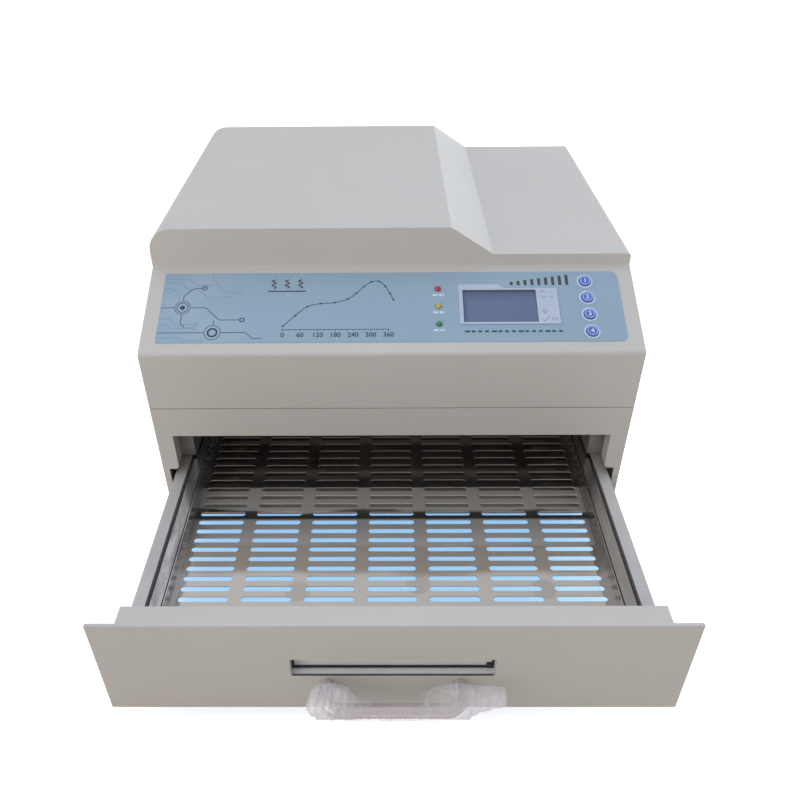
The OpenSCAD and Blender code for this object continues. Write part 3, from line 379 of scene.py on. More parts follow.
paint = coat("powder_coat", (0.60, 0.575, 0.54), (0.575, 0.55, 0.515), 0.42, grain_size=1100.0,
             depth=0.000012, clouds=6.0, edge_wear_highlight_colour=(0.66, 0.64, 0.61), edge_radius=0.0006)
for node in ("base_shell", "hood_shell", "rear_panel"):
    softened(node, node + "_painted", 0.0004, paint, "cabinet", "casing_paint")
# The floor plate is near-black: painted shade for the dark inside of the cabinet. Only a strip at its front
# keeps the paint's own warm grey.
floor_coat = coat("floor_coat", (0.12, 0.115, 0.11), (0.09, 0.088, 0.085), 0.55, grain_size=1100.0,
                  depth=0.000012, clouds=14.0)
tree = floor_coat.node_tree
shader = tree.nodes["Principled BSDF"]
inward = axes_of(tree, on_piece(tree))
inside_painted_shade = span(tree, inward["Y"], -0.044, -0.032)
floor_paint_and_painted_shade = blend(tree, inside_painted_shade, (0.62, 0.59, 0.54), shader.inputs["Base Color"].links[0].from_socket)
feed(shader, {"Base Color": floor_paint_and_painted_shade})
softened("floor_plate", "floor_plate_painted", 0.0004, floor_coat, "cabinet", "casing_paint")

# ---- Feet and casing screws ---------------------------------------------------------------
# Four moulded rubber feet held from inside by pan-head screws, and three nickel-plated
# pan-head screws on each side that join hood and base. Each head has a cross recess.
dress(coat("foot_rubber", (0.022, 0.022, 0.023), (0.035, 0.034, 0.033), 0.75, grain_size=700.0, depth=0.00003,
           clouds=60.0), "feet")
nickel = coat("nickel_plate", (0.66, 0.64, 0.61), (0.56, 0.55, 0.53), 0.24, 1.0, grain_size=500.0,
              depth=0.000004, clouds=120.0)
dress(nickel, "foot_screws", "case_screws", "fan_screws", "handle_screws", "board_standoffs")
recess_black = coat("recess_shadow", (0.02, 0.02, 0.02), (0.03, 0.03, 0.03), 0.6, clouds=200.0)


def rule_tree(name, sizes):
    """An empty geometry tree with a Geometry input and output and named sizes."""
    tree = bpy.data.node_groups.new(name, "GeometryNodeTree")
    tree.interface.new_socket("Geometry", in_out="INPUT", socket_type="NodeSocketGeometry")
    tree.interface.new_socket("Geometry", in_out="OUTPUT", socket_type="NodeSocketGeometry")
    for label, value in sizes:
        kind = "NodeSocketInt" if isinstance(value, int) else "NodeSocketFloat"
        tree.interface.new_socket(label, in_out="INPUT", socket_type=kind).default_value = value
    return tree, tree.nodes.new("NodeGroupInput").outputs, tree.nodes.new("NodeGroupOutput")


def rule(tree, kind, inputs=None, **settings):
    """A geometry node by its short name."""
    return tree_node(tree, "GeometryNode" + kind, inputs, **settings)


def finished(tree, geometry, tree_out, material):
    """Ends a tree with real geometry in its material."""
    real = rule(tree, "RealizeInstances", {"Geometry": geometry})
    feed(tree_out, {"Geometry": rule(tree, "SetMaterial", {
        "Geometry": real, "Material": material})})


def set_on_points(tree, tree_in, instance, tree_out, material):
    """Sets a shape on each point, turned along the point's own direction, and ends the tree."""
    facing = rule(tree, "InputNamedAttribute", {"Name": "facing"}, data_type="FLOAT_VECTOR")
    turned_to = tree_node(tree, "FunctionNodeAlignRotationToVector", {"Vector": facing}, axis="Z")
    laid = rule(tree, "InstanceOnPoints", {
        "Points": tree_in["Geometry"], "Instance": instance, "Rotation": turned_to})
    finished(tree, laid, tree_out, material)


def grown(name, tree, places, sizes, body, slot, *stands_for):
    """Runs a tree on a set of points with normals and keeps the result as a plain mesh."""
    seed = bpy.data.meshes.new(name + "_places")
    seed.from_pydata([spot for spot, _ in places], [], [])
    facing = seed.attributes.new("facing", "FLOAT_VECTOR", "POINT")
    for index, (_, normal) in enumerate(places):
        facing.data[index].vector = normal
    holder = placed(name + "_holder", seed)
    modifier = holder.modifiers.new("grow", "NODES")
    modifier.node_group = tree
    sockets = {s.name: s.identifier for s in tree.interface.items_tree if s.in_out == "INPUT"}
    for label, value in sizes.items():
        modifier[sockets[label]] = value
    mesh = settled(holder)
    bpy.data.objects.remove(holder)
    return fixed(placed(name, mesh), body, slot, *stands_for)


# Cross recesses: two crossed bars, sunk flush in the head
cross, cross_in, cross_out = rule_tree(
    "cross_recess", [("Length", 0.003), ("Width", 0.0007), ("Depth", 0.0002)])
wide = shader_node(cross, "CombineXYZ", {
    "X": cross_in["Length"], "Y": cross_in["Width"], "Z": cross_in["Depth"]})
tall = shader_node(cross, "CombineXYZ", {
    "X": cross_in["Width"], "Y": cross_in["Length"], "Z": cross_in["Depth"]})
bar_a = rule(cross, "MeshCube", {"Size": wide})
bar_b = rule(cross, "MeshCube", {"Size": tall})
bars = rule(cross, "MeshBoolean", operation="UNION")
feed(bars, {"Mesh 2": bar_a})
feed(bars, {"Mesh 2": bar_b})
set_on_points(cross, cross_in, bars, cross_out, recess_black)


def heads(*names):
    """The low and high corner of each screw head: the separate islands of the nodes."""
    found = []
    for name in names:
        mesh = bmesh.new()
        mesh.from_mesh(nodes[name].data)
        bmesh.ops.remove_doubles(mesh, verts=mesh.verts, dist=same_place)
        seen = set()
        for start in mesh.verts:
            if start in seen:
                continue
            seen.add(start)
            island, waiting = [], [start]
            while waiting:
                vert = waiting.pop()
                island.append(vert.co)
                for line in vert.link_edges:
                    other = line.other_vert(vert)
                    if other not in seen:
                        seen.add(other)
                        waiting.append(other)
            found.append((Vector([min(spot[i] for spot in island) for i in range(3)]),
                          Vector([max(spot[i] for spot in island) for i in range(3)])))
        mesh.free()
    return found


recess_sink = 0.00007
side_marks = []
for low_corner, high_corner in heads("case_screws"):
    middle = (low_corner + high_corner) / 2
    outward = Vector((math.copysign(1.0, middle.x), 0.0, 0.0))
    middle.x = high_corner.x if middle.x > 0 else low_corner.x
    side_marks.append((middle - outward * recess_sink, outward))
rear_marks = []
for low_corner, high_corner in heads("fan_screws"):
    middle = (low_corner + high_corner) / 2
    middle.y = high_corner.y
    rear_marks.append((middle - Vector((0.0, recess_sink, 0.0)), Vector((0.0, 1.0, 0.0))))
grown("screw_recesses", cross, side_marks + rear_marks, {"Length": 0.0032}, "cabinet", "screw_steel")

# ---- Control label ------------------------------------------------------------------------
# A printed polycarbonate film on the control slope. Its print is a few circuit traces with
# ring pads, a temperature curve over a plain scale, and marks beside the lamps and keys.
slope_foot_z, slope_angle, place_y = 0.1988, math.atan2(40.4, 79.9), 0.07315
label_top, bezel_top, print_depth, print_sink = 0.0005, 0.0013, 0.00004, 0.00001


def on_slope(x, s, height):
    """A point in millimetres across and up the control slope, at a height in metres."""
    s = s / 1000.0
    return Vector((
        x / 1000.0,
        s * math.cos(slope_angle) - height * math.sin(slope_angle) - place_y,
        slope_foot_z + s * math.sin(slope_angle) + height * math.cos(slope_angle)))


def inked(mesh, left, right, base, closed=False):
    """A raised print between two lines of slope points, as a closed thin solid."""
    count = len(left)
    rows = [[mesh.verts.new(on_slope(x, s, h)) for x, s in line]
            for h in (base - print_sink, base + print_depth) for line in (left, right)]
    low_left, low_right, top_left, top_right = rows
    for i in range(count if closed else count - 1):
        j = (i + 1) % count
        mesh.faces.new((top_left[i], top_right[i], top_right[j], top_left[j]))
        mesh.faces.new((low_left[j], low_right[j], low_right[i], low_left[i]))
        mesh.faces.new((low_right[i], low_right[j], top_right[j], top_right[i]))
        mesh.faces.new((low_left[j], low_left[i], top_left[i], top_left[j]))
    if not closed:
        mesh.faces.new((low_left[0], low_right[0], top_right[0], top_left[0]))
        mesh.faces.new((low_right[-1], low_left[-1], top_left[-1], top_right[-1]))


def stroke(mesh, points, width, base=label_top):
    """A printed line of one width along slope points."""
    points = [Vector(p) for p in points]
    left, right_side = [], []
    for i, point in enumerate(points):
        before = (point - points[i - 1]).normalized() if i else None
        after = (points[i + 1] - point).normalized() if i + 1 < len(points) else None
        along = ((before or after) + (after or before)).normalized()
        spread = width / 2 / max(0.5, along.dot(after or before))
        across = Vector((-along.y, along.x)) * spread
        left.append(point + across)
        right_side.append(point - across)
    inked(mesh, left, right_side, base)


def ring(mesh, x, s, inner, outer, base=label_top, steps=40):
    """A printed ring, or a disc when its inner radius is nearly nothing."""
    turns = [math.tau * i / steps for i in range(steps)]
    inked(mesh, *([(x + r * math.cos(a), s + r * math.sin(a)) for a in turns] for r in (inner, outer)),
          base, closed=True)


def figures(mesh, text, x, s, size, base=label_top, bold=0.0):
    """Printed figures, centred on a slope point."""
    letters = bpy.data.curves.new("figures", "FONT")
    letters.body, letters.size = text, size
    letters.align_x, letters.align_y = "CENTER", "CENTER"
    letters.extrude, letters.offset, letters.resolution_u = 0.5, bold, 3
    holder = placed("figures", letters)
    solid = settled(holder)
    bpy.data.objects.remove(holder)
    part = bmesh.new()
    part.from_mesh(solid)
    bmesh.ops.remove_doubles(part, verts=part.verts, dist=1e-4)
    for vert in part.verts:
        height = base - print_sink if vert.co.z < 0 else base + print_depth
        vert.co = on_slope(x + vert.co.x, s + vert.co.y, height)
    bmesh.ops.recalc_face_normals(part, faces=part.faces)
    part.to_mesh(solid)
    part.free()
    mesh.from_mesh(solid)
    bpy.data.meshes.remove(solid)


def printed(name, mesh, material, body="cabinet", slot="label_print"):
    """Ends a print: outward faces, its ink and the body that carries it."""
    bmesh.ops.recalc_face_normals(mesh, faces=mesh.faces)
    return fixed(piece_of(name, mesh, material), body, slot)


turn_radius, turn_steps = 1.6, 4


def rounded_path(points):
    """A line through points with its corners rounded."""
    points = [Vector(p) for p in points]
    path = [points[0]]
    for before, corner, after in zip(points, points[1:], points[2:]):
        start = corner + (before - corner).normalized() * turn_radius
        end = corner + (after - corner).normalized() * turn_radius
        path += [start.lerp(corner, i / turn_steps).lerp(corner.lerp(end, i / turn_steps), i / turn_steps)
                 for i in range(turn_steps + 1)]
    return path + [points[-1]]


def through(points, steps=6):
    """A smooth curve through points."""
    points = [Vector(p) for p in points]
    ends = [2 * points[0] - points[1]] + points + [2 * points[-1] - points[-2]]
    curve = []
    for a, b, c, d in zip(ends, ends[1:], ends[2:], ends[3:]):
        for i in range(steps):
            t = i / steps
            curve.append(0.5 * (2 * b + (c - a) * t + (2 * a - 5 * b + 4 * c - d) * t * t
                                + (3 * b - a - 3 * c + d) * t ** 3))
    return curve + [points[-1]]


label_film, tree, shader = blank("label_film", 0.42)
tone = use(tree, cast, Size=12.0)
blue = blend(tree, tone, (0.283, 0.409, 0.51), (0.30, 0.422, 0.523))
for halo_x, halo_s, reach in ((-178.0, 46.0, 0.026), (-150.0, 20.0, 0.034), (-160.0, 74.0, 0.03)):
    away = shader_node(tree, "VectorMath", {
        0: on_piece(tree), 1: tuple(on_slope(halo_x, halo_s, label_top))}, operation="DISTANCE")
    fade = span(tree, away, 0.0, reach, 0.32, 0.0, interpolation_type="SMOOTHSTEP")
    blue = blend(tree, fade, blue, (0.41, 0.50, 0.59))
film_grain = use(tree, grain, Size=1400.0, Depth=0.000006)
feed(shader, {"Base Color": blue, "Normal": film_grain})
dress(label_film, "control_label")


def ink(name, colour, second, roughness=0.4):
    """A flat printing ink."""
    return coat(name, colour, second, roughness, depth=0.000004, clouds=40.0)


navy_ink = ink("navy_ink", (0.035, 0.05, 0.10), (0.05, 0.065, 0.12))
pale_ink = ink("pale_ink", (0.205, 0.32, 0.43), (0.225, 0.34, 0.45))
white_ink = ink("white_ink", (0.68, 0.75, 0.84), (0.62, 0.70, 0.80))
dark_ink = ink("dark_ink", (0.055, 0.06, 0.065), (0.075, 0.08, 0.085))

traces = bmesh.new()
pad_rings = [(-178, 46, 4.3, 5), (-178, 46, 6.2, 6.8), (-150, 21, 3, 4.6),
             (-150, 21, 6.6, 7.2), (-126, 33.5, 1.3, 2.3), (-161, 66, 1.3, 2.3)]
for x, s, inner, outer in pad_rings:
    ring(traces, x, s, inner, outer)
ring(traces, -178, 46, 0.02, 2.2)
for path_points in (
        [(-196.5, 46), (-185, 46)], [(-171, 46), (-158, 46), (-145.5, 33.5), (-128.4, 33.5)],
        [(-178, 53), (-178, 58), (-170, 66), (-163.4, 66)],
        [(-196.5, 21), (-157.4, 21)], [(-142.6, 21), (-122, 21), (-116, 15), (-108, 15)],
        [(-150, 28.4), (-150, 33)], [(-178, 39), (-178, 30), (-174, 26)]):
    stroke(traces, rounded_path(path_points), 0.62)
printed("label_traces", traces, navy_ink)

soft_traces = bmesh.new()
for path_points in (
        [(-196.5, 76), (-176, 76), (-169, 69), (-150, 69), (-142, 61), (-131, 61)],
        [(-196.5, 71.5), (-182, 71.5), (-175, 64.5), (-166, 64.5), (-158, 56.5), (-139, 56.5)],
        [(-196.5, 66), (-189, 66), (-182, 59), (-182, 54)],
        [(-196.5, 35), (-188, 35), (-182, 29), (-166, 29)],
        [(-196.5, 29.5), (-190, 29.5), (-186, 25.5), (-168, 25.5)],
        [(-196.5, 16), (-176, 16), (-173, 13), (-160, 13)],
        [(-155, 81), (-155, 76), (-148, 69)]):
    stroke(soft_traces, rounded_path(path_points), 0.7)
for x, s in ((-129.5, 61), (-137.5, 56.5), (-164.5, 29), (-166.5, 25.5), (-158.5, 13)):
    ring(soft_traces, x, s, 0.7, 1.5)
printed("label_soft_traces", soft_traces, pale_ink)

profile = [(-91, 27), (-81, 37.5), (-71, 46.5), (-60, 49.5), (-48, 50.5), (-37, 54),
           (-29.5, 60), (-23, 67), (-16.5, 71.8), (-10, 72.4), (-4.5, 67), (-0.5, 59.5), (2.5, 53)]
curve_print = bmesh.new()
stroke(curve_print, through(profile), 0.7)
for x, s in profile:
    ring(curve_print, x, s, 0.02, 0.95, steps=14)
axis_x0, axis_x1, axis_s, tick_n = -92, -1, 23.6, 19
stroke(curve_print, [(axis_x0, axis_s), (axis_x1, axis_s)], 0.55)
for i in range(tick_n):
    x = axis_x0 + 1 + i * (axis_x1 - axis_x0 - 2) / (tick_n - 1)
    stroke(curve_print, [(x, axis_s - (1.8 if i % 3 == 0 else 1)), (x, axis_s)], 0.5)
printed("label_curve", curve_print, navy_ink)

scale_print = bmesh.new()
for i in range(7):
    x = axis_x0 + 1 + i * (axis_x1 - axis_x0 - 2) / 6
    figures(scale_print, str(i * 60), x, 18.2, 6.2, bold=0.14)
for i in range(3):
    wave = [(-101 + i * 11.5 + 1.7 * math.sin(t * 2.2), 65.5 + t * 1.5) for t in
            [k * 0.25 for k in range(25)]]
    stroke(scale_print, wave, 1.15)
stroke(scale_print, [(-106, 62.4), (-73, 62.4)], 1.3)
for i in range(9):
    x = 104.5 + i * 6
    stroke(scale_print, [(x, 67.5), (x, 71 + 0.9 * i)], 2.6)
for i in range(15):
    x = 62 + i * 5.6
    stroke(scale_print, [(x, 21), (x + (3.2 if i % 4 else 4.4), 21)], 1.9)
printed("label_scales", scale_print, dark_ink)

lamp_s = (28.6, 46.3, 64)
key_s = (71.3, 54.4, 37.5, 20.6)
lamp_x, key_x = 40.8, 168.2
white_print = bmesh.new()
for s in lamp_s:
    for i, wide_mark in enumerate((2.2, 1.4, 2, 1.2)):
        x = lamp_x - 4.6 + i * 2.7
        stroke(white_print, [(x, s - 6.2), (x + wide_mark, s - 6.2)], 2.2)
for s in key_s:
    ring(white_print, key_x, s, 5.5, 6.7)
printed("label_white_marks", white_print, white_ink)

# ---- Display ------------------------------------------------------------------------------
# A pale moulded surround with a wide right margin, and a dark grey-blue display window set
# 1.7 mm behind it, over the glass cell and its circuit board.
surround = coat("bezel_moulding", (0.50, 0.56, 0.68), (0.47, 0.53, 0.65), 0.4, grain_size=1500.0,
                depth=0.000006, clouds=30.0)
dress(surround, "display_bezel")

pane, tree, shader = blank("display_window", 0.12)
on_window = shader_node(tree, "Mapping", {
    "Vector": on_piece(tree), "Location": tuple(-on_slope(93.2, 46.15, 0.0))})
axes = axes_of(tree, on_window)
# The window darkens towards its top and left edges: painted shadow of the surround's rim.
upper = span(tree, axes["Z"], 0.002, 0.0078, 0.0, 0.75)
side = span(tree, axes["X"], -0.026, -0.0325, 0.0, 0.5)
painted_recess_shadow = maths(tree, "MAXIMUM", upper, side)
cell = blend(tree, painted_recess_shadow, (0.135, 0.18, 0.30), (0.075, 0.095, 0.14))
lines = shader_node(tree, "TexWave", {"Vector": on_window, "Scale": 600.0}, bands_direction="X")
dots = bump(tree, lines.outputs["Fac"], 0.000003)
feed(shader, {"Base Color": cell, "Normal": dots})
dress(pane, "display_glass")

signs = bmesh.new()
grey_ink = ink("grey_ink", (0.26, 0.30, 0.38), (0.30, 0.34, 0.42), 0.45)
for s, turn_sign in ((60.0, 1), (55.0, -1)):
    stroke(signs, [(128.0, s - 1.2 * turn_sign), (130.6, s + 1.2 * turn_sign), (133.2, s - 1.2 * turn_sign)],
           0.7, bezel_top)
    stroke(signs, [(135.0, s), (139.4, s)], 0.7, bezel_top)
ring(signs, 130.5, 40.5, 1.3, 2.0, bezel_top)
stroke(signs, [(130.5, 37.6), (130.5, 40.5)], 0.7, bezel_top)
stroke(signs, [(127.6, 32.6), (129.6, 30.4), (134.2, 35.2)], 0.8, bezel_top)
for i in range(3):
    stroke(signs, [(135.6 + i * 1.9, 31.0), (136.6 + i * 1.9, 34.2)], 0.7, bezel_top)
printed("bezel_signs", signs, grey_ink, slot="bezel_print")

dress(coat("module_black", (0.03, 0.03, 0.032), (0.045, 0.045, 0.046), 0.5, clouds=80.0), "display_module")

# ---- Lamps and keys -----------------------------------------------------------------------
# Three domed lamps, green, yellow and red, and four round blue keys with white figures.
# All stand through the label from the board behind it.
lamps, tree, shader = blank("lamp_epoxy", 0.18)
spot = on_piece(tree)
axes = axes_of(tree, spot)
height = span(tree, axes["Z"], on_slope(0, 20.0, 0).z, on_slope(0, 73.0, 0).z)
steps = shader_node(tree, "ValToRGB", {"Fac": height})
steps.color_ramp.interpolation = "CONSTANT"
ramp = steps.color_ramp.elements
ramp[0].color, ramp[0].position = (0.03, 0.25, 0.09, 1.0), 0.0
ramp[1].color, ramp[1].position = (0.55, 0.42, 0.10, 1.0), 0.35
ramp.new(0.68).color = (0.42, 0.03, 0.05, 1.0)
glint = speckle(tree, spot, 900.0, 2.0)
lens = bump(tree, glint, 0.00003, 0.6)
feed(shader, {"Base Color": steps, "Normal": lens, "Coat Weight": 0.6})
dress(lamps, "status_leds")
key_blue = coat("key_moulding", (0.085, 0.19, 0.62), (0.075, 0.17, 0.57), 0.32, grain_size=1500.0,
                depth=0.000006, clouds=120.0, edge_wear_highlight_colour=(0.14, 0.27, 0.68), edge_radius=0.0004)
key_top = 0.0019
for i, s in enumerate(key_s):
    key_node = f"key_{i + 1}"
    softened(key_node, key_node + "_cap", 0.0003, key_blue, key_node, "key_blue", steps=3)
    face = bmesh.new()
    figures(face, str(i + 1), key_x, s - 0.1, 6.0, base=key_top, bold=0.12)
    ring(face, key_x, s, 3.75, 4.15, key_top)
    printed(key_node + "_figure", face, white_ink, key_node, "key_blue")
dress(coat("solder_mask", (0.02, 0.12, 0.05), (0.03, 0.16, 0.07), 0.35, clouds=140.0, depth=0.00001),
      "front_board", "control_board")

# ---- Heated chamber -----------------------------------------------------------------------
# A folded aluminised liner with quartz heater tubes under its roof, coiled resistance wire
# inside them, steatite sockets, and a board of ceramic fibre under a sheet shield.
liner_sheet = coat("aluminised_liner", (0.50, 0.48, 0.46), (0.42, 0.40, 0.385), 0.45, 0.8, grain_size=300.0,
                   depth=0.00001, clouds=22.0)
dress(liner_sheet, "chamber_liner")
dress(coat("aluminised_shield", (0.50, 0.50, 0.49), (0.42, 0.42, 0.41), 0.4, 1.0, grain_size=300.0,
           depth=0.00001, clouds=30.0), "heat_shield", "relay_heatsink")
dress(coat("zinc_sheet", (0.40, 0.39, 0.38), (0.33, 0.325, 0.32), 0.38, 0.85, grain_size=500.0,
           depth=0.000006, clouds=45.0, edge_wear_highlight_colour=(0.55, 0.54, 0.53)), "chamber_hangers", "slide_brackets")
fibre = coat("ceramic_fibre", (0.70, 0.67, 0.60), (0.62, 0.59, 0.52), 0.95, grain_size=240.0, depth=0.0004,
             clouds=35.0)
dress(fibre, "insulation_board")
steatite = coat("steatite", (0.66, 0.63, 0.57), (0.58, 0.55, 0.50), 0.3, grain_size=800.0, depth=0.00001,
                clouds=90.0)
dress(steatite, "heater_sockets")
dress(coat("probe_steel", (0.55, 0.52, 0.48), (0.45, 0.40, 0.35), 0.3, 1.0, clouds=70.0),
      "thermocouple", "circulation_impeller")

quartz, tree, shader = blank("milky_quartz", 0.2)
milk = speckle(tree, on_piece(tree), 60.0, 3.0)
body_tone = span(tree, milk, 0.3, 0.7, 0.84, 0.94)
feed(shader, {"Base Color": (0.80, 0.77, 0.72, 1.0), "Alpha": body_tone})
dress(quartz, "heater_tubes")
wire = coat("resistance_wire", (0.16, 0.14, 0.13), (0.22, 0.19, 0.17), 0.5, 1.0, clouds=300.0)

coil, coil_in, coil_out = rule_tree(
    "heater_coil", [("Turns", 150.0), ("Radius", 0.0016), ("Length", 0.366), ("Wire", 0.0003),
                    ("Points", 1500)])
spiral = rule(coil, "CurveSpiral", {
    "Rotations": coil_in["Turns"], "Start Radius": coil_in["Radius"],
    "End Radius": coil_in["Radius"], "Height": coil_in["Length"]})
per_turn = maths(coil, "DIVIDE", coil_in["Points"], coil_in["Turns"])
feed(spiral, {"Resolution": per_turn})
strand = rule(coil, "CurvePrimitiveCircle", {"Resolution": 4, "Radius": coil_in["Wire"]})
wound = rule(coil, "CurveToMesh", {
    "Curve": spiral, "Profile Curve": strand, "Fill Caps": True})
set_on_points(coil, coil_in, wound, coil_out, wire)
tube_low, tube_high = [Vector(c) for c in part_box("heater_filaments")]
coil_start_x, tube_radius = -0.183, 0.0016
tube_first, tube_last, tube_count = tube_low.y + tube_radius, tube_high.y - tube_radius, 5
tube_z = (tube_low.z + tube_high.z) / 2
tube_step = (tube_last - tube_first) / (tube_count - 1)
coil_starts = [((coil_start_x, tube_first + tube_step * i, tube_z), (1.0, 0.0, 0.0))
               for i in range(tube_count)]
grown("heater_coils", coil, coil_starts, {"Turns": 140.0}, "cabinet", "filament", "heater_filaments")

# ---- Electronics and fans -----------------------------------------------------------------
# Control board, transformer and solid-state relay on the shield, a shaded motor over the
# chamber, and two moulded box fans behind wire finger guards.
dress(coat("black_lacquer", (0.03, 0.03, 0.032), (0.045, 0.045, 0.047), 0.3, clouds=70.0,
           edge_wear_highlight_colour=(0.10, 0.10, 0.10)), "circulation_motor")
dress(coat("varnished_winding", (0.40, 0.22, 0.07), (0.30, 0.16, 0.05), 0.4, clouds=110.0, depth=0.00008),
      "transformer")
dress(coat("black_moulding", (0.024, 0.024, 0.026), (0.036, 0.036, 0.038), 0.42, grain_size=1000.0,
           depth=0.000012, clouds=60.0, edge_wear_highlight_colour=(0.07, 0.07, 0.072), edge_radius=0.0006),
      "exhaust_fan_frame", "exhaust_rotor", "cooling_fan_frame", "cooling_rotor", "mains_inlet",
      "switch_housing", "fuse_holder")
dress(nickel, "exhaust_guard", "cooling_guard")

# ---- Power switch -------------------------------------------------------------------------
# A red moulded rocker on its own pin, with a white line on its on half and a ring on its
# off half.
dress(coat("rocker_moulding", (0.50, 0.025, 0.02), (0.44, 0.02, 0.018), 0.25, depth=0.000006, clouds=150.0),
      "power_rocker")
rocker_axis = Vector((0.118, 0.361 - place_y, 0.119))
rocker_turn = math.radians(-10.0)


def on_rocker(half, along, high, height):
    """A point on one half of the rocker's face, in millimetres from that half's middle."""
    ridge, tip = Vector((0.0, 4.0)), Vector((7.3 * half, 5.2))
    start, end = (ridge, tip) if half > 0 else (tip, ridge)
    across = (end - start).normalized()
    point = (start + end) / 2 + across * along + Vector((-across.y, across.x)) * height
    turned_point = Matrix.Rotation(rocker_turn, 2) @ point
    return rocker_axis + Vector((turned_point.x, turned_point.y, high)) / 1000.0


marks = bmesh.new()
mark_low, mark_high = -0.03, 0.04
line_corners = ((-0.35, -2.2), (0.35, -2.2), (0.35, 2.2), (-0.35, 2.2))
corners = [[marks.verts.new(on_rocker(1, a, z, h)) for a, z in line_corners] for h in (mark_low, mark_high)]
marks.faces.new(corners[0])
marks.faces.new(reversed(corners[1]))
for i in range(4):
    marks.faces.new((corners[0][i], corners[1][i], corners[1][(i + 1) % 4], corners[0][(i + 1) % 4]))
ring_steps = 24
turns = [math.tau * i / ring_steps for i in range(ring_steps)]
rings = [[marks.verts.new(on_rocker(-1, r * math.cos(a), r * math.sin(a), h)) for a in turns]
         for h in (mark_low, mark_high) for r in (1.3, 2.0)]
for i in range(ring_steps):
    j = (i + 1) % ring_steps
    for a, b in ((0, 1), (1, 3), (3, 2), (2, 0)):
        marks.faces.new((rings[a][i], rings[b][i], rings[b][j], rings[a][j]))
printed("rocker_marks", marks, white_ink, "rocker", "rocker_red")

# ---- Slides and rails ---------------------------------------------------------------------
# Ball-bearing slides in bright zinc-plated steel, and the drawer's side rails in dull
# galvanised sheet with an outward flange on top.
dress(coat("bright_zinc", (0.62, 0.61, 0.60), (0.54, 0.53, 0.52), 0.26, 1.0, grain_size=600.0, depth=0.000004,
           clouds=60.0), "slide_outers", "slide_mid_left", "slide_mid_right", "slide_inners")
rail_sheet = coat("dull_zinc", (0.55, 0.525, 0.51), (0.49, 0.465, 0.45), 0.46, 0.15, grain_size=420.0,
                  depth=0.000008, clouds=26.0, edge_wear_highlight_colour=(0.42, 0.41, 0.41), edge_radius=0.0004)
softened("drawer_rails", "drawer_rails_rounded", 0.0003, rail_sheet, "drawer", "zinc_steel")
dress(rail_sheet, "drawer_rear_bar")

# ---- Frame of the tray --------------------------------------------------------------------
# Two bent side bars of bluish polished sheet with dark drawn streaks, tied by two cross bars;
# they hang on the side rails and carry the tray.
frame_steel, tree, shader = blank("drawn_stainless", 0.2, 0.9)
spot = on_piece(tree)
drawn = shader_node(tree, "Mapping", {"Vector": spot, "Scale": (130.0, 22.0, 90.0)})
streaks = shader_node(tree, "TexNoise", {"Vector": drawn, "Scale": 1.0, "Detail": 4.0, "Roughness": 0.62})
dark_streak = span(tree, streaks, 0.34, 0.60)
tone = blend(tree, dark_streak, (0.36, 0.37, 0.395), (0.68, 0.70, 0.75))
rough = span(tree, dark_streak, 0.0, 1.0, 0.34, 0.2)
along = axes_of(tree, spot)
# The bars turn darker and browner towards the right.
browner_to_right = span(tree, along["X"], -0.1, 0.1, 0.0, 0.75)
tone = blend(tree, browner_to_right, tone, (0.36, 0.33, 0.30))
dents = use(tree, bowed, Size=40.0, Depth=0.0002)
feed(shader, {"Base Color": tone, "Roughness": rough, "Normal": dents})
softened("tray_frame", "tray_frame_rounded", 0.0003, frame_steel, "drawer", "stainless")

# ---- Tray ---------------------------------------------------------------------------------
# One thin rolled stainless sheet, punched with seven columns of round-ended slots and folded
# up at its edges; its front end is painted brighter, a painted reflection, and the rest darker and brownish.
tray_x = 0.1768
tray_front, tray_rear = -0.1797 - place_y, 0.128 - place_y
slot_step_x, slot_step_y, slot_columns, slot_rows = 0.0508, 0.0105, 7, 28
tray_steel, tree, shader = blank("rolled_stainless", 0.1, 0.95)
spot = on_piece(tree)
along = axes_of(tree, spot)
# The bright front end of the tray stands in for a reflection: painted reflection. Behind it the sheet takes a
# darker, cloudy brownish tone.
edge_noise = speckle(tree, spot, 16.0, 2.0)
where = maths(tree, "MULTIPLY_ADD", edge_noise, 0.02, along["Y"])
beyond_painted_reflection = span(tree, where, -0.166, -0.158, interpolation_type="SMOOTHSTEP")
cloudy = use(tree, cast, Size=11.0, Sharpness=0.25)
brown = blend(tree, cloudy, (0.60, 0.57, 0.545), (0.52, 0.49, 0.465))
base = blend(tree, beyond_painted_reflection, (0.76, 0.745, 0.74), brown)
for mark_x, mark_y in ((-0.0764, -0.2445), (0.0212, -0.2378), (0.1231, -0.243)):
    away = shader_node(tree, "VectorMath", {
        0: spot, 1: (mark_x, mark_y + 0.0535, 0.046)}, operation="DISTANCE")
    fade = span(tree, away, 0.0085, 0.0115, 0.4, 0.0, interpolation_type="SMOOTHSTEP")
    base = blend(tree, fade, base, (0.50, 0.455, 0.42))
# Two dull, darker bands across the tray stand in for bands of reflected light: painted reflection.
painted_reflection_bands = None
for start, end, strength in ((-0.0985, -0.0708, 1.0), (-0.140, -0.111, 0.6)):
    ragged = span(tree, where, start + 0.0065, start + 0.0105)
    straight = span(tree, along["Y"], end - 0.001, end + 0.001, strength, 0.0)
    patch = maths(tree, "MULTIPLY", ragged, straight)
    painted_reflection_bands = patch if painted_reflection_bands is None else maths(tree, "MAXIMUM", painted_reflection_bands, patch)
base = blend(tree, painted_reflection_bands, base, (0.37, 0.345, 0.31))
feed(shader, {"Metallic": span(tree, painted_reflection_bands, 0.0, 1.0, 0.96, 0.15)})
upright_face = axes_of(tree, shader_node(tree, "NewGeometry").outputs["True Normal"])
upwards = maths(tree, "ABSOLUTE", upright_face["Z"])
cut = span(tree, upwards, 0.3, 0.7, 1.0, 0.0)
edge_tone = blend(tree, cut, base, (0.86, 0.83, 0.79))
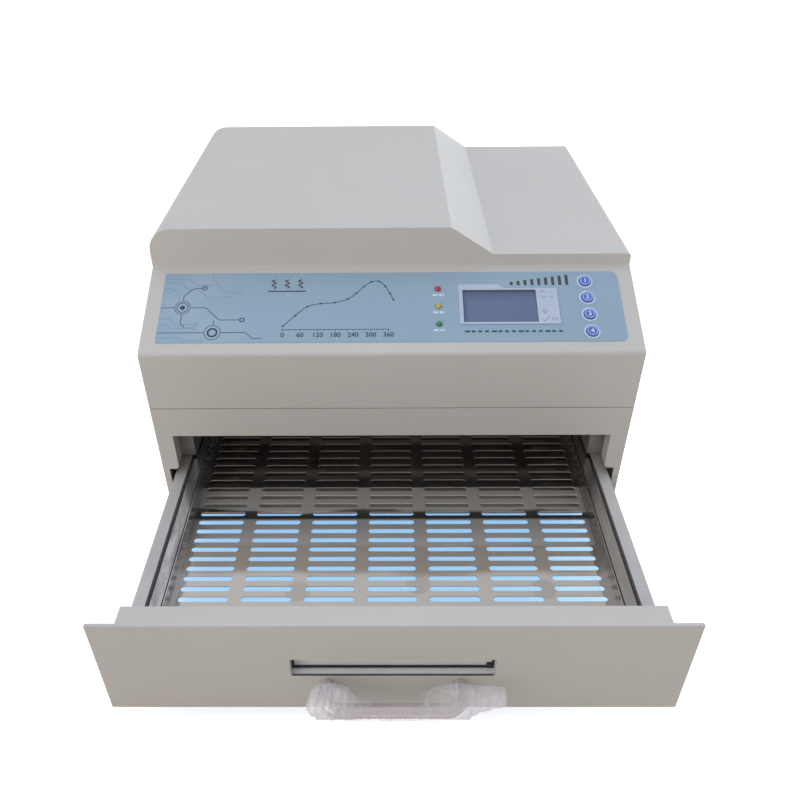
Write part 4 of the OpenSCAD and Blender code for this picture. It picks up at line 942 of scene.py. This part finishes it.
rolled = shader_node(tree, "Mapping", {"Vector": spot, "Scale": (700.0, 6.0, 60.0)})
lines = speckle(tree, rolled, 1.0, 2.0)
rough = span(tree, lines.outputs["Fac"], 0.3, 0.7, 0.09, 0.105)
rough_dull = shader_node(tree, "Mix", {"Factor": painted_reflection_bands, 2: rough, 3: 0.4})
rough_cut = shader_node(tree, "Mix", {"Factor": cut, 2: rough_dull, 3: 0.5})
waves = use(tree, bowed, Size=14.0, Depth=0.0006)
feed(shader, {"Base Color": edge_tone, "Roughness": rough_cut, "Normal": waves})


def together(tree, *parts):
    """Joins geometries."""
    join = rule(tree, "JoinGeometry")
    for part in parts:
        feed(join, {"Geometry": part})
    return join


punched, punched_in, punched_out = rule_tree("punched_sheet", [
    ("Slot Length", 0.0404), ("Slot Width", 0.005), ("Sheet Width", 0.35), ("Sheet Depth", 0.30),
    ("Middle", 0.0), ("Height", 0.046), ("Thickness", 0.0008)])
slot_box = rule(punched, "CurvePrimitiveQuadrilateral", {
    "Width": punched_in["Slot Length"], "Height": punched_in["Slot Width"]})
end_radius = maths(punched, "MULTIPLY", punched_in["Slot Width"], 0.499)
slot_line = rule(punched, "FilletCurve", {
    "Curve": slot_box, "Radius": end_radius, "Count": 6}, mode="POLY")
slot_lines = rule(punched, "InstanceOnPoints", {
    "Points": punched_in["Geometry"], "Instance": slot_line})
slots_real = rule(punched, "RealizeInstances", {"Geometry": slot_lines})
rim_line = rule(punched, "CurvePrimitiveQuadrilateral", {
    "Width": punched_in["Sheet Width"], "Height": punched_in["Sheet Depth"]})
rim_place = shader_node(punched, "CombineXYZ", {"Y": punched_in["Middle"]})
rim_set = rule(punched, "Transform", {"Geometry": rim_line, "Translation": rim_place})
lines_all = together(punched, rim_set, slots_real)
filled = rule(punched, "FillCurve", {"Curve": lines_all})
down = maths(punched, "MULTIPLY", punched_in["Thickness"], -1.0)
sink = shader_node(punched, "CombineXYZ", {"Z": down})
turned_over = rule(punched, "FlipFaces", {"Mesh": filled})
walls_down = rule(punched, "ExtrudeMesh", {
    "Mesh": turned_over, "Offset": sink, "Offset Scale": 1.0, "Individual": False})
both_faces = together(punched, walls_down, filled)
welded = rule(punched, "MergeByDistance", {"Geometry": both_faces, "Distance": 0.00001})
raise_to = shader_node(punched, "CombineXYZ", {"Z": punched_in["Height"]})
raised = rule(punched, "Transform", {"Geometry": welded, "Translation": raise_to})
finished(punched, raised, punched_out, tray_steel)
tray_middle = (tray_front + tray_rear) / 2
slot_places = [(((i - (slot_columns - 1) / 2) * slot_step_x,
                 tray_middle + (j - (slot_rows - 1) / 2) * slot_step_y, 0.0), (0.0, 0.0, 1.0))
               for i in range(slot_columns) for j in range(slot_rows)]
grown("tray_sheet", punched, slot_places, {
    "Sheet Width": 2 * tray_x - 0.0012, "Sheet Depth": tray_rear - tray_front - 0.0012,
    "Middle": tray_middle}, "drawer", "stainless", "tray")

edge_sheet, edge_foot, side_top, end_top, edge_round = 0.001, 0.045, 0.066, 0.055, 0.0003
plates("tray_sides", (
    ((-tray_x, tray_front, edge_foot), (-tray_x + edge_sheet, tray_rear, side_top)),
    ((tray_x - edge_sheet, tray_front, edge_foot), (tray_x, tray_rear, side_top))),
    edge_round, frame_steel, "drawer", "stainless", "tray")
plates("tray_ends", (
    ((-tray_x, tray_front, edge_foot), (tray_x, tray_front + edge_sheet, end_top)),
    ((-tray_x, tray_rear - edge_sheet, edge_foot), (tray_x, tray_rear, end_top))),
    edge_round, rail_sheet, "drawer", "stainless", "tray")

# ---- Drawer front, window and handle ------------------------------------------------------
# A flat painted panel with a folded box behind it, a pale enamelled window frame with a
# black silicone strip and frosted glass, and a bow handle of satin rod.
# The drawer front wears a darker copy of the casing's powder coat: painted shade.
shaded_front_paint = coat("powder_coat_front_shaded", (0.55, 0.525, 0.49), (0.525, 0.50, 0.465), 0.42, grain_size=1100.0,
                   depth=0.000012, clouds=6.0, edge_wear_highlight_colour=(0.62, 0.60, 0.57), edge_radius=0.0006)
softened("drawer_front", "drawer_front_painted", 0.0006, shaded_front_paint, "drawer", "casing_paint")
dress(liner_sheet, "drawer_back_plate")
dress(coat("pale_enamel", (0.78, 0.815, 0.785), (0.71, 0.745, 0.715), 0.3, clouds=70.0, depth=0.00001),
      "window_frame")
silicone = coat("black_silicone", (0.016, 0.019, 0.028), (0.024, 0.027, 0.036), 0.6, clouds=120.0)
dress(silicone, "window_seal")
window_x, window_low, window_high = 0.073, 0.054, 0.073
pane_y, panel_face = -0.1913 - place_y, -0.1991 - place_y
plates("window_bead", (
    ((-window_x, pane_y - 0.0014, window_low), (window_x, pane_y, window_low + 0.0017)),
    ((-window_x, pane_y - 0.0012, window_low), (-window_x + 0.0016, pane_y, window_high)),
    ((window_x - 0.0016, pane_y - 0.0012, window_low), (window_x, pane_y, window_high)),
    ((window_x - 0.0055, pane_y - 0.0016, window_low), (window_x, pane_y, window_low + 0.005)),
    # The thin black bar along the lower front edge of the opening is a painted shadow line.
    ((-window_x + 0.001, panel_face + 0.0001, window_low),
     (window_x - 0.001, panel_face + 0.0012, window_low + 0.0004))),
    0.0002, silicone, "drawer", "seal_rubber")
frosted, tree, shader = blank("frosted_glass", 0.16)
haze = speckle(tree, on_piece(tree), 35.0, 4.0)
haze_tone = blend(tree, haze, (0.72, 0.725, 0.75), (0.80, 0.80, 0.83))
feed(shader, {"Base Color": haze_tone, "Transmission Weight": 0.1})
dress(frosted, "window_glass", "inner_glass")
satin = coat("satin_rod", (0.76, 0.70, 0.71), (0.68, 0.625, 0.635), 0.2, 0.85, grain_size=700.0,
             depth=0.000006, clouds=60.0)
dress(satin, "handle")

# ---- Film on the handle -------------------------------------------------------------------
# A loose clear polyethylene sleeve left on the handle from packing: gathered in a crumpled
# bulge at the left, tight round the rod in the middle and flat at its open right end.
rod_y, rod_z, rod_r, leg_x = -0.2213 - place_y, 0.0465, 0.005, 0.048
film_sections = [
    (-60.5, [(8, 2), (6, 3.5), (3, 4), (0, 2), (1, 0), (4, -1.5), (7, -1)]),
    (-57.0, [(12, 8), (8, 9.5), (2, 8.5), (-3.5, 3.5), (-2.8, -0.8), (3, -4), (9, -3)]),
    (-53.5, [(13.5, 11.5), (8.5, 13), (1.5, 11.5), (-4.5, 4), (-3.5, -1.5), (3, -5.5), (10, -4.5)]),
    (-46.0, [(13.5, 11.5), (8.5, 13.5), (1, 11.5), (-5.5, 4), (-4.6, -2.2), (3, -6.2), (10.5, -5)]),
    (-38.0, [(13.2, 11), (8, 13), (0.5, 10.5), (-6, 3.5), (-5, -2.6), (2, -6.4), (9.5, -5.2)]),
    (-33.0, [(12, 10), (7, 11), (0, 9), (-6, 2.5), (-5.2, -2.8), (1, -6.4), (8.5, -5.4)]),
    (-28.0, [(8.5, 6.5), (5, 7.5), (-0.5, 7.2), (-6, 2.2), (-5.3, -3), (1, -6.3), (7, -5.2)]),
    (-23.0, [(6.8, 4), (3.8, 5.8), (-0.8, 6.4), (-6, 2), (-5.4, -3), (0.8, -6.3), (6.4, -4.8)]),
    (-8.0, [(6.2, 3), (3.2, 5.4), (-1, 6.2), (-6, 2), (-5.7, -3.2), (0.5, -6.4), (6, -4.6)]),
    (9.0, [(5.6, 2.6), (2.8, 5.2), (-1, 6.1), (-6, 2), (-5.7, -3.3), (0.5, -6.4), (5.8, -4.6)]),
    (15.0, [(8.6, 4.6), (4.2, 6.4), (-0.8, 6.4), (-6, 2), (-5.6, -3.2), (0.8, -6.3), (6.4, -4.7)]),
    (22.0, [(10.6, 6.6), (5.4, 7.8), (-0.5, 6.8), (-6, 2), (-5.4, -3), (1, -6.2), (7.4, -4.8)]),
    (33.0, [(13, 9.6), (7, 9.8), (0, 7.4), (-6, 2), (-4.9, -2.4), (1.5, -5.8), (8.5, -4.6)]),
    (45.0, [(14, 11.2), (8, 11), (0.4, 7.8), (-5.8, 1.8), (-4.0, -1.8), (2.2, -5), (9, -4)]),
    (54.0, [(13.6, 10.2), (8, 10.2), (1, 7), (-4.5, 1.6), (-2.8, -1.2), (3, -3.4), (9, -2.4)]),
    (62.0, [(13.2, 9.6), (8, 9.2), (2.4, 6.2), (-1.6, 2.8), (-0.6, 0.6), (3.5, 0), (9, 1)]),
    (72.0, [(13, 9.2), (8, 8.8), (3.4, 6.2), (0.6, 3.8), (1.4, 2), (4.5, 2.2), (9.5, 3.4)]),
    (79.0, [(12.5, 8.6), (8, 8.2), (4, 6), (1.4, 4.2), (2.2, 2.8), (5, 3.2), (9.5, 4.4)]),
]
film_along, film_round = 300, 84
film_start, film_length, film_thickness, rod_gap = -60.5, 139.5, 0.00012, 0.55


def blended(stations, where):
    """The outline between two stations, eased from one to the next."""
    for (a, low_outline), (b, high_outline) in zip(stations, stations[1:]):
        if where <= b:
            t = (where - a) / (b - a)
            t = t * t * (3 - 2 * t)
            return [Vector(p).lerp(Vector(q), t) for p, q in zip(low_outline, high_outline)]
    return [Vector(p) for p in stations[-1][1]]


def looseness(x):
    """How far the film stands off the rod, from 0, tight, to 1, crumpled."""
    left = max(0.0, min(1.0, (-30.0 - x) / 12.0))
    right_end = max(0.0, min(1.0, (x - 12.0) / 30.0))
    return max(left, 0.42 * right_end)


film_mesh = bmesh.new()
film_rows = []
for i in range(film_along + 1):
    x = film_start + film_length * i / film_along
    outline = through(blended(film_sections, x), 14)
    row = []
    for j in range(film_round + 1):
        spot_at = outline[j]
        ahead_at = outline[min(j + 1, film_round)] - outline[max(j - 1, 0)]
        across_at = Vector((-ahead_at.y, ahead_at.x)).normalized()
        seed_at = Vector((x * 0.075, j * 0.032, 1.7))
        crumple = (noise.ridged_multi_fractal(seed_at, 1.0, 2.1, 2, 0.9, 2.0) - 0.9) * 1.3
        folds = math.sin(x * 1.15 + j * 0.16 + 2.5 * noise.noise(Vector((x * 0.05, j * 0.03, 4.0))))
        taut = 0.22 * folds * math.exp(-((x + 10.0) / 14.0) ** 2)
        lift = looseness(x) * (0.95 * crumple + 0.25 * folds) + taut + 0.12
        ragged = 1.6 * noise.noise(Vector((j * 0.11, 9.0, 0.0))) if i in (0, film_along) else 0.0
        point = spot_at + across_at * lift
        clear = rod_r * 1000.0 + rod_gap
        if abs(x) < leg_x * 1000.0 + clear:
            reach = point.length
            if reach < clear:
                point = point * (clear / max(reach, 0.01))
            if abs(abs(x) - leg_x * 1000.0) < clear and point.x > 0 and abs(point.y) < clear:
                point.y = math.copysign(clear, spot_at.y)
        row.append(film_mesh.verts.new((
            (x + ragged) / 1000.0, rod_y + point.x / 1000.0, rod_z + point.y / 1000.0)))
    film_rows.append(row)
for row, following in zip(film_rows, film_rows[1:]):
    for j in range(film_round):
        film_mesh.faces.new((row[j], row[j + 1], following[j + 1], following[j]))
for face in film_mesh.faces:
    face.smooth = True

film_clear, tree, shader = blank("clear_film", 0.14)
spot = on_piece(tree)
creases = shader_node(tree, "TexNoise", {"Vector": spot, "Scale": 60.0, "Detail": 3.0, "Distortion": 1.6})
# Fine white lines along folds raise the film's opacity: partly its crease whitening, partly painted glints.
slanted = shader_node(tree, "Mapping", {
    "Vector": spot, "Rotation": (0.0, 0.7, 0.5), "Scale": (1.0, 0.45, 0.45)})
fine = shader_node(tree, "TexVoronoi", {
    "Vector": slanted, "Scale": 120.0, "Randomness": 1.0}, feature="DISTANCE_TO_EDGE")
fold_glint_lines = span(tree, fine, 0.0, 0.05, 1.0, 0.0)
across = axes_of(tree, spot)
left_bulge = span(tree, across["X"], -0.034, -0.022, 1.0, 0.0)
right_flap = span(tree, across["X"], 0.020, 0.058, 0.0, 1.15)
loose_part = maths(tree, "MULTIPLY_ADD", left_bulge, 1.4, right_flap)
cloud = span(tree, creases, 0.38, 0.66, 0.015, 0.11)
thicker = maths(tree, "MULTIPLY_ADD", loose_part, 0.19, cloud)
fold_glint_strength = span(tree, right_flap, 0.0, 1.0, 0.17, 0.04)
milky = maths(tree, "MULTIPLY_ADD", fold_glint_lines, fold_glint_strength, thicker, use_clamp=True)
relief = bump(tree, creases, 0.0016, 0.8)
feed(shader, {
    "Base Color": (0.90, 0.85, 0.875, 1.0), "Specular IOR Level": 0.9, "Alpha": milky, "Normal": relief})
film = piece_of("film_sleeve", film_mesh, film_clear)
thick = film.modifiers.new("thickness", "SOLIDIFY")
thick.thickness, thick.offset = film_thickness, 0.0
film.data = settled(film)
film.modifiers.clear()
fixed(film, "drawer", "film", "handle_film")
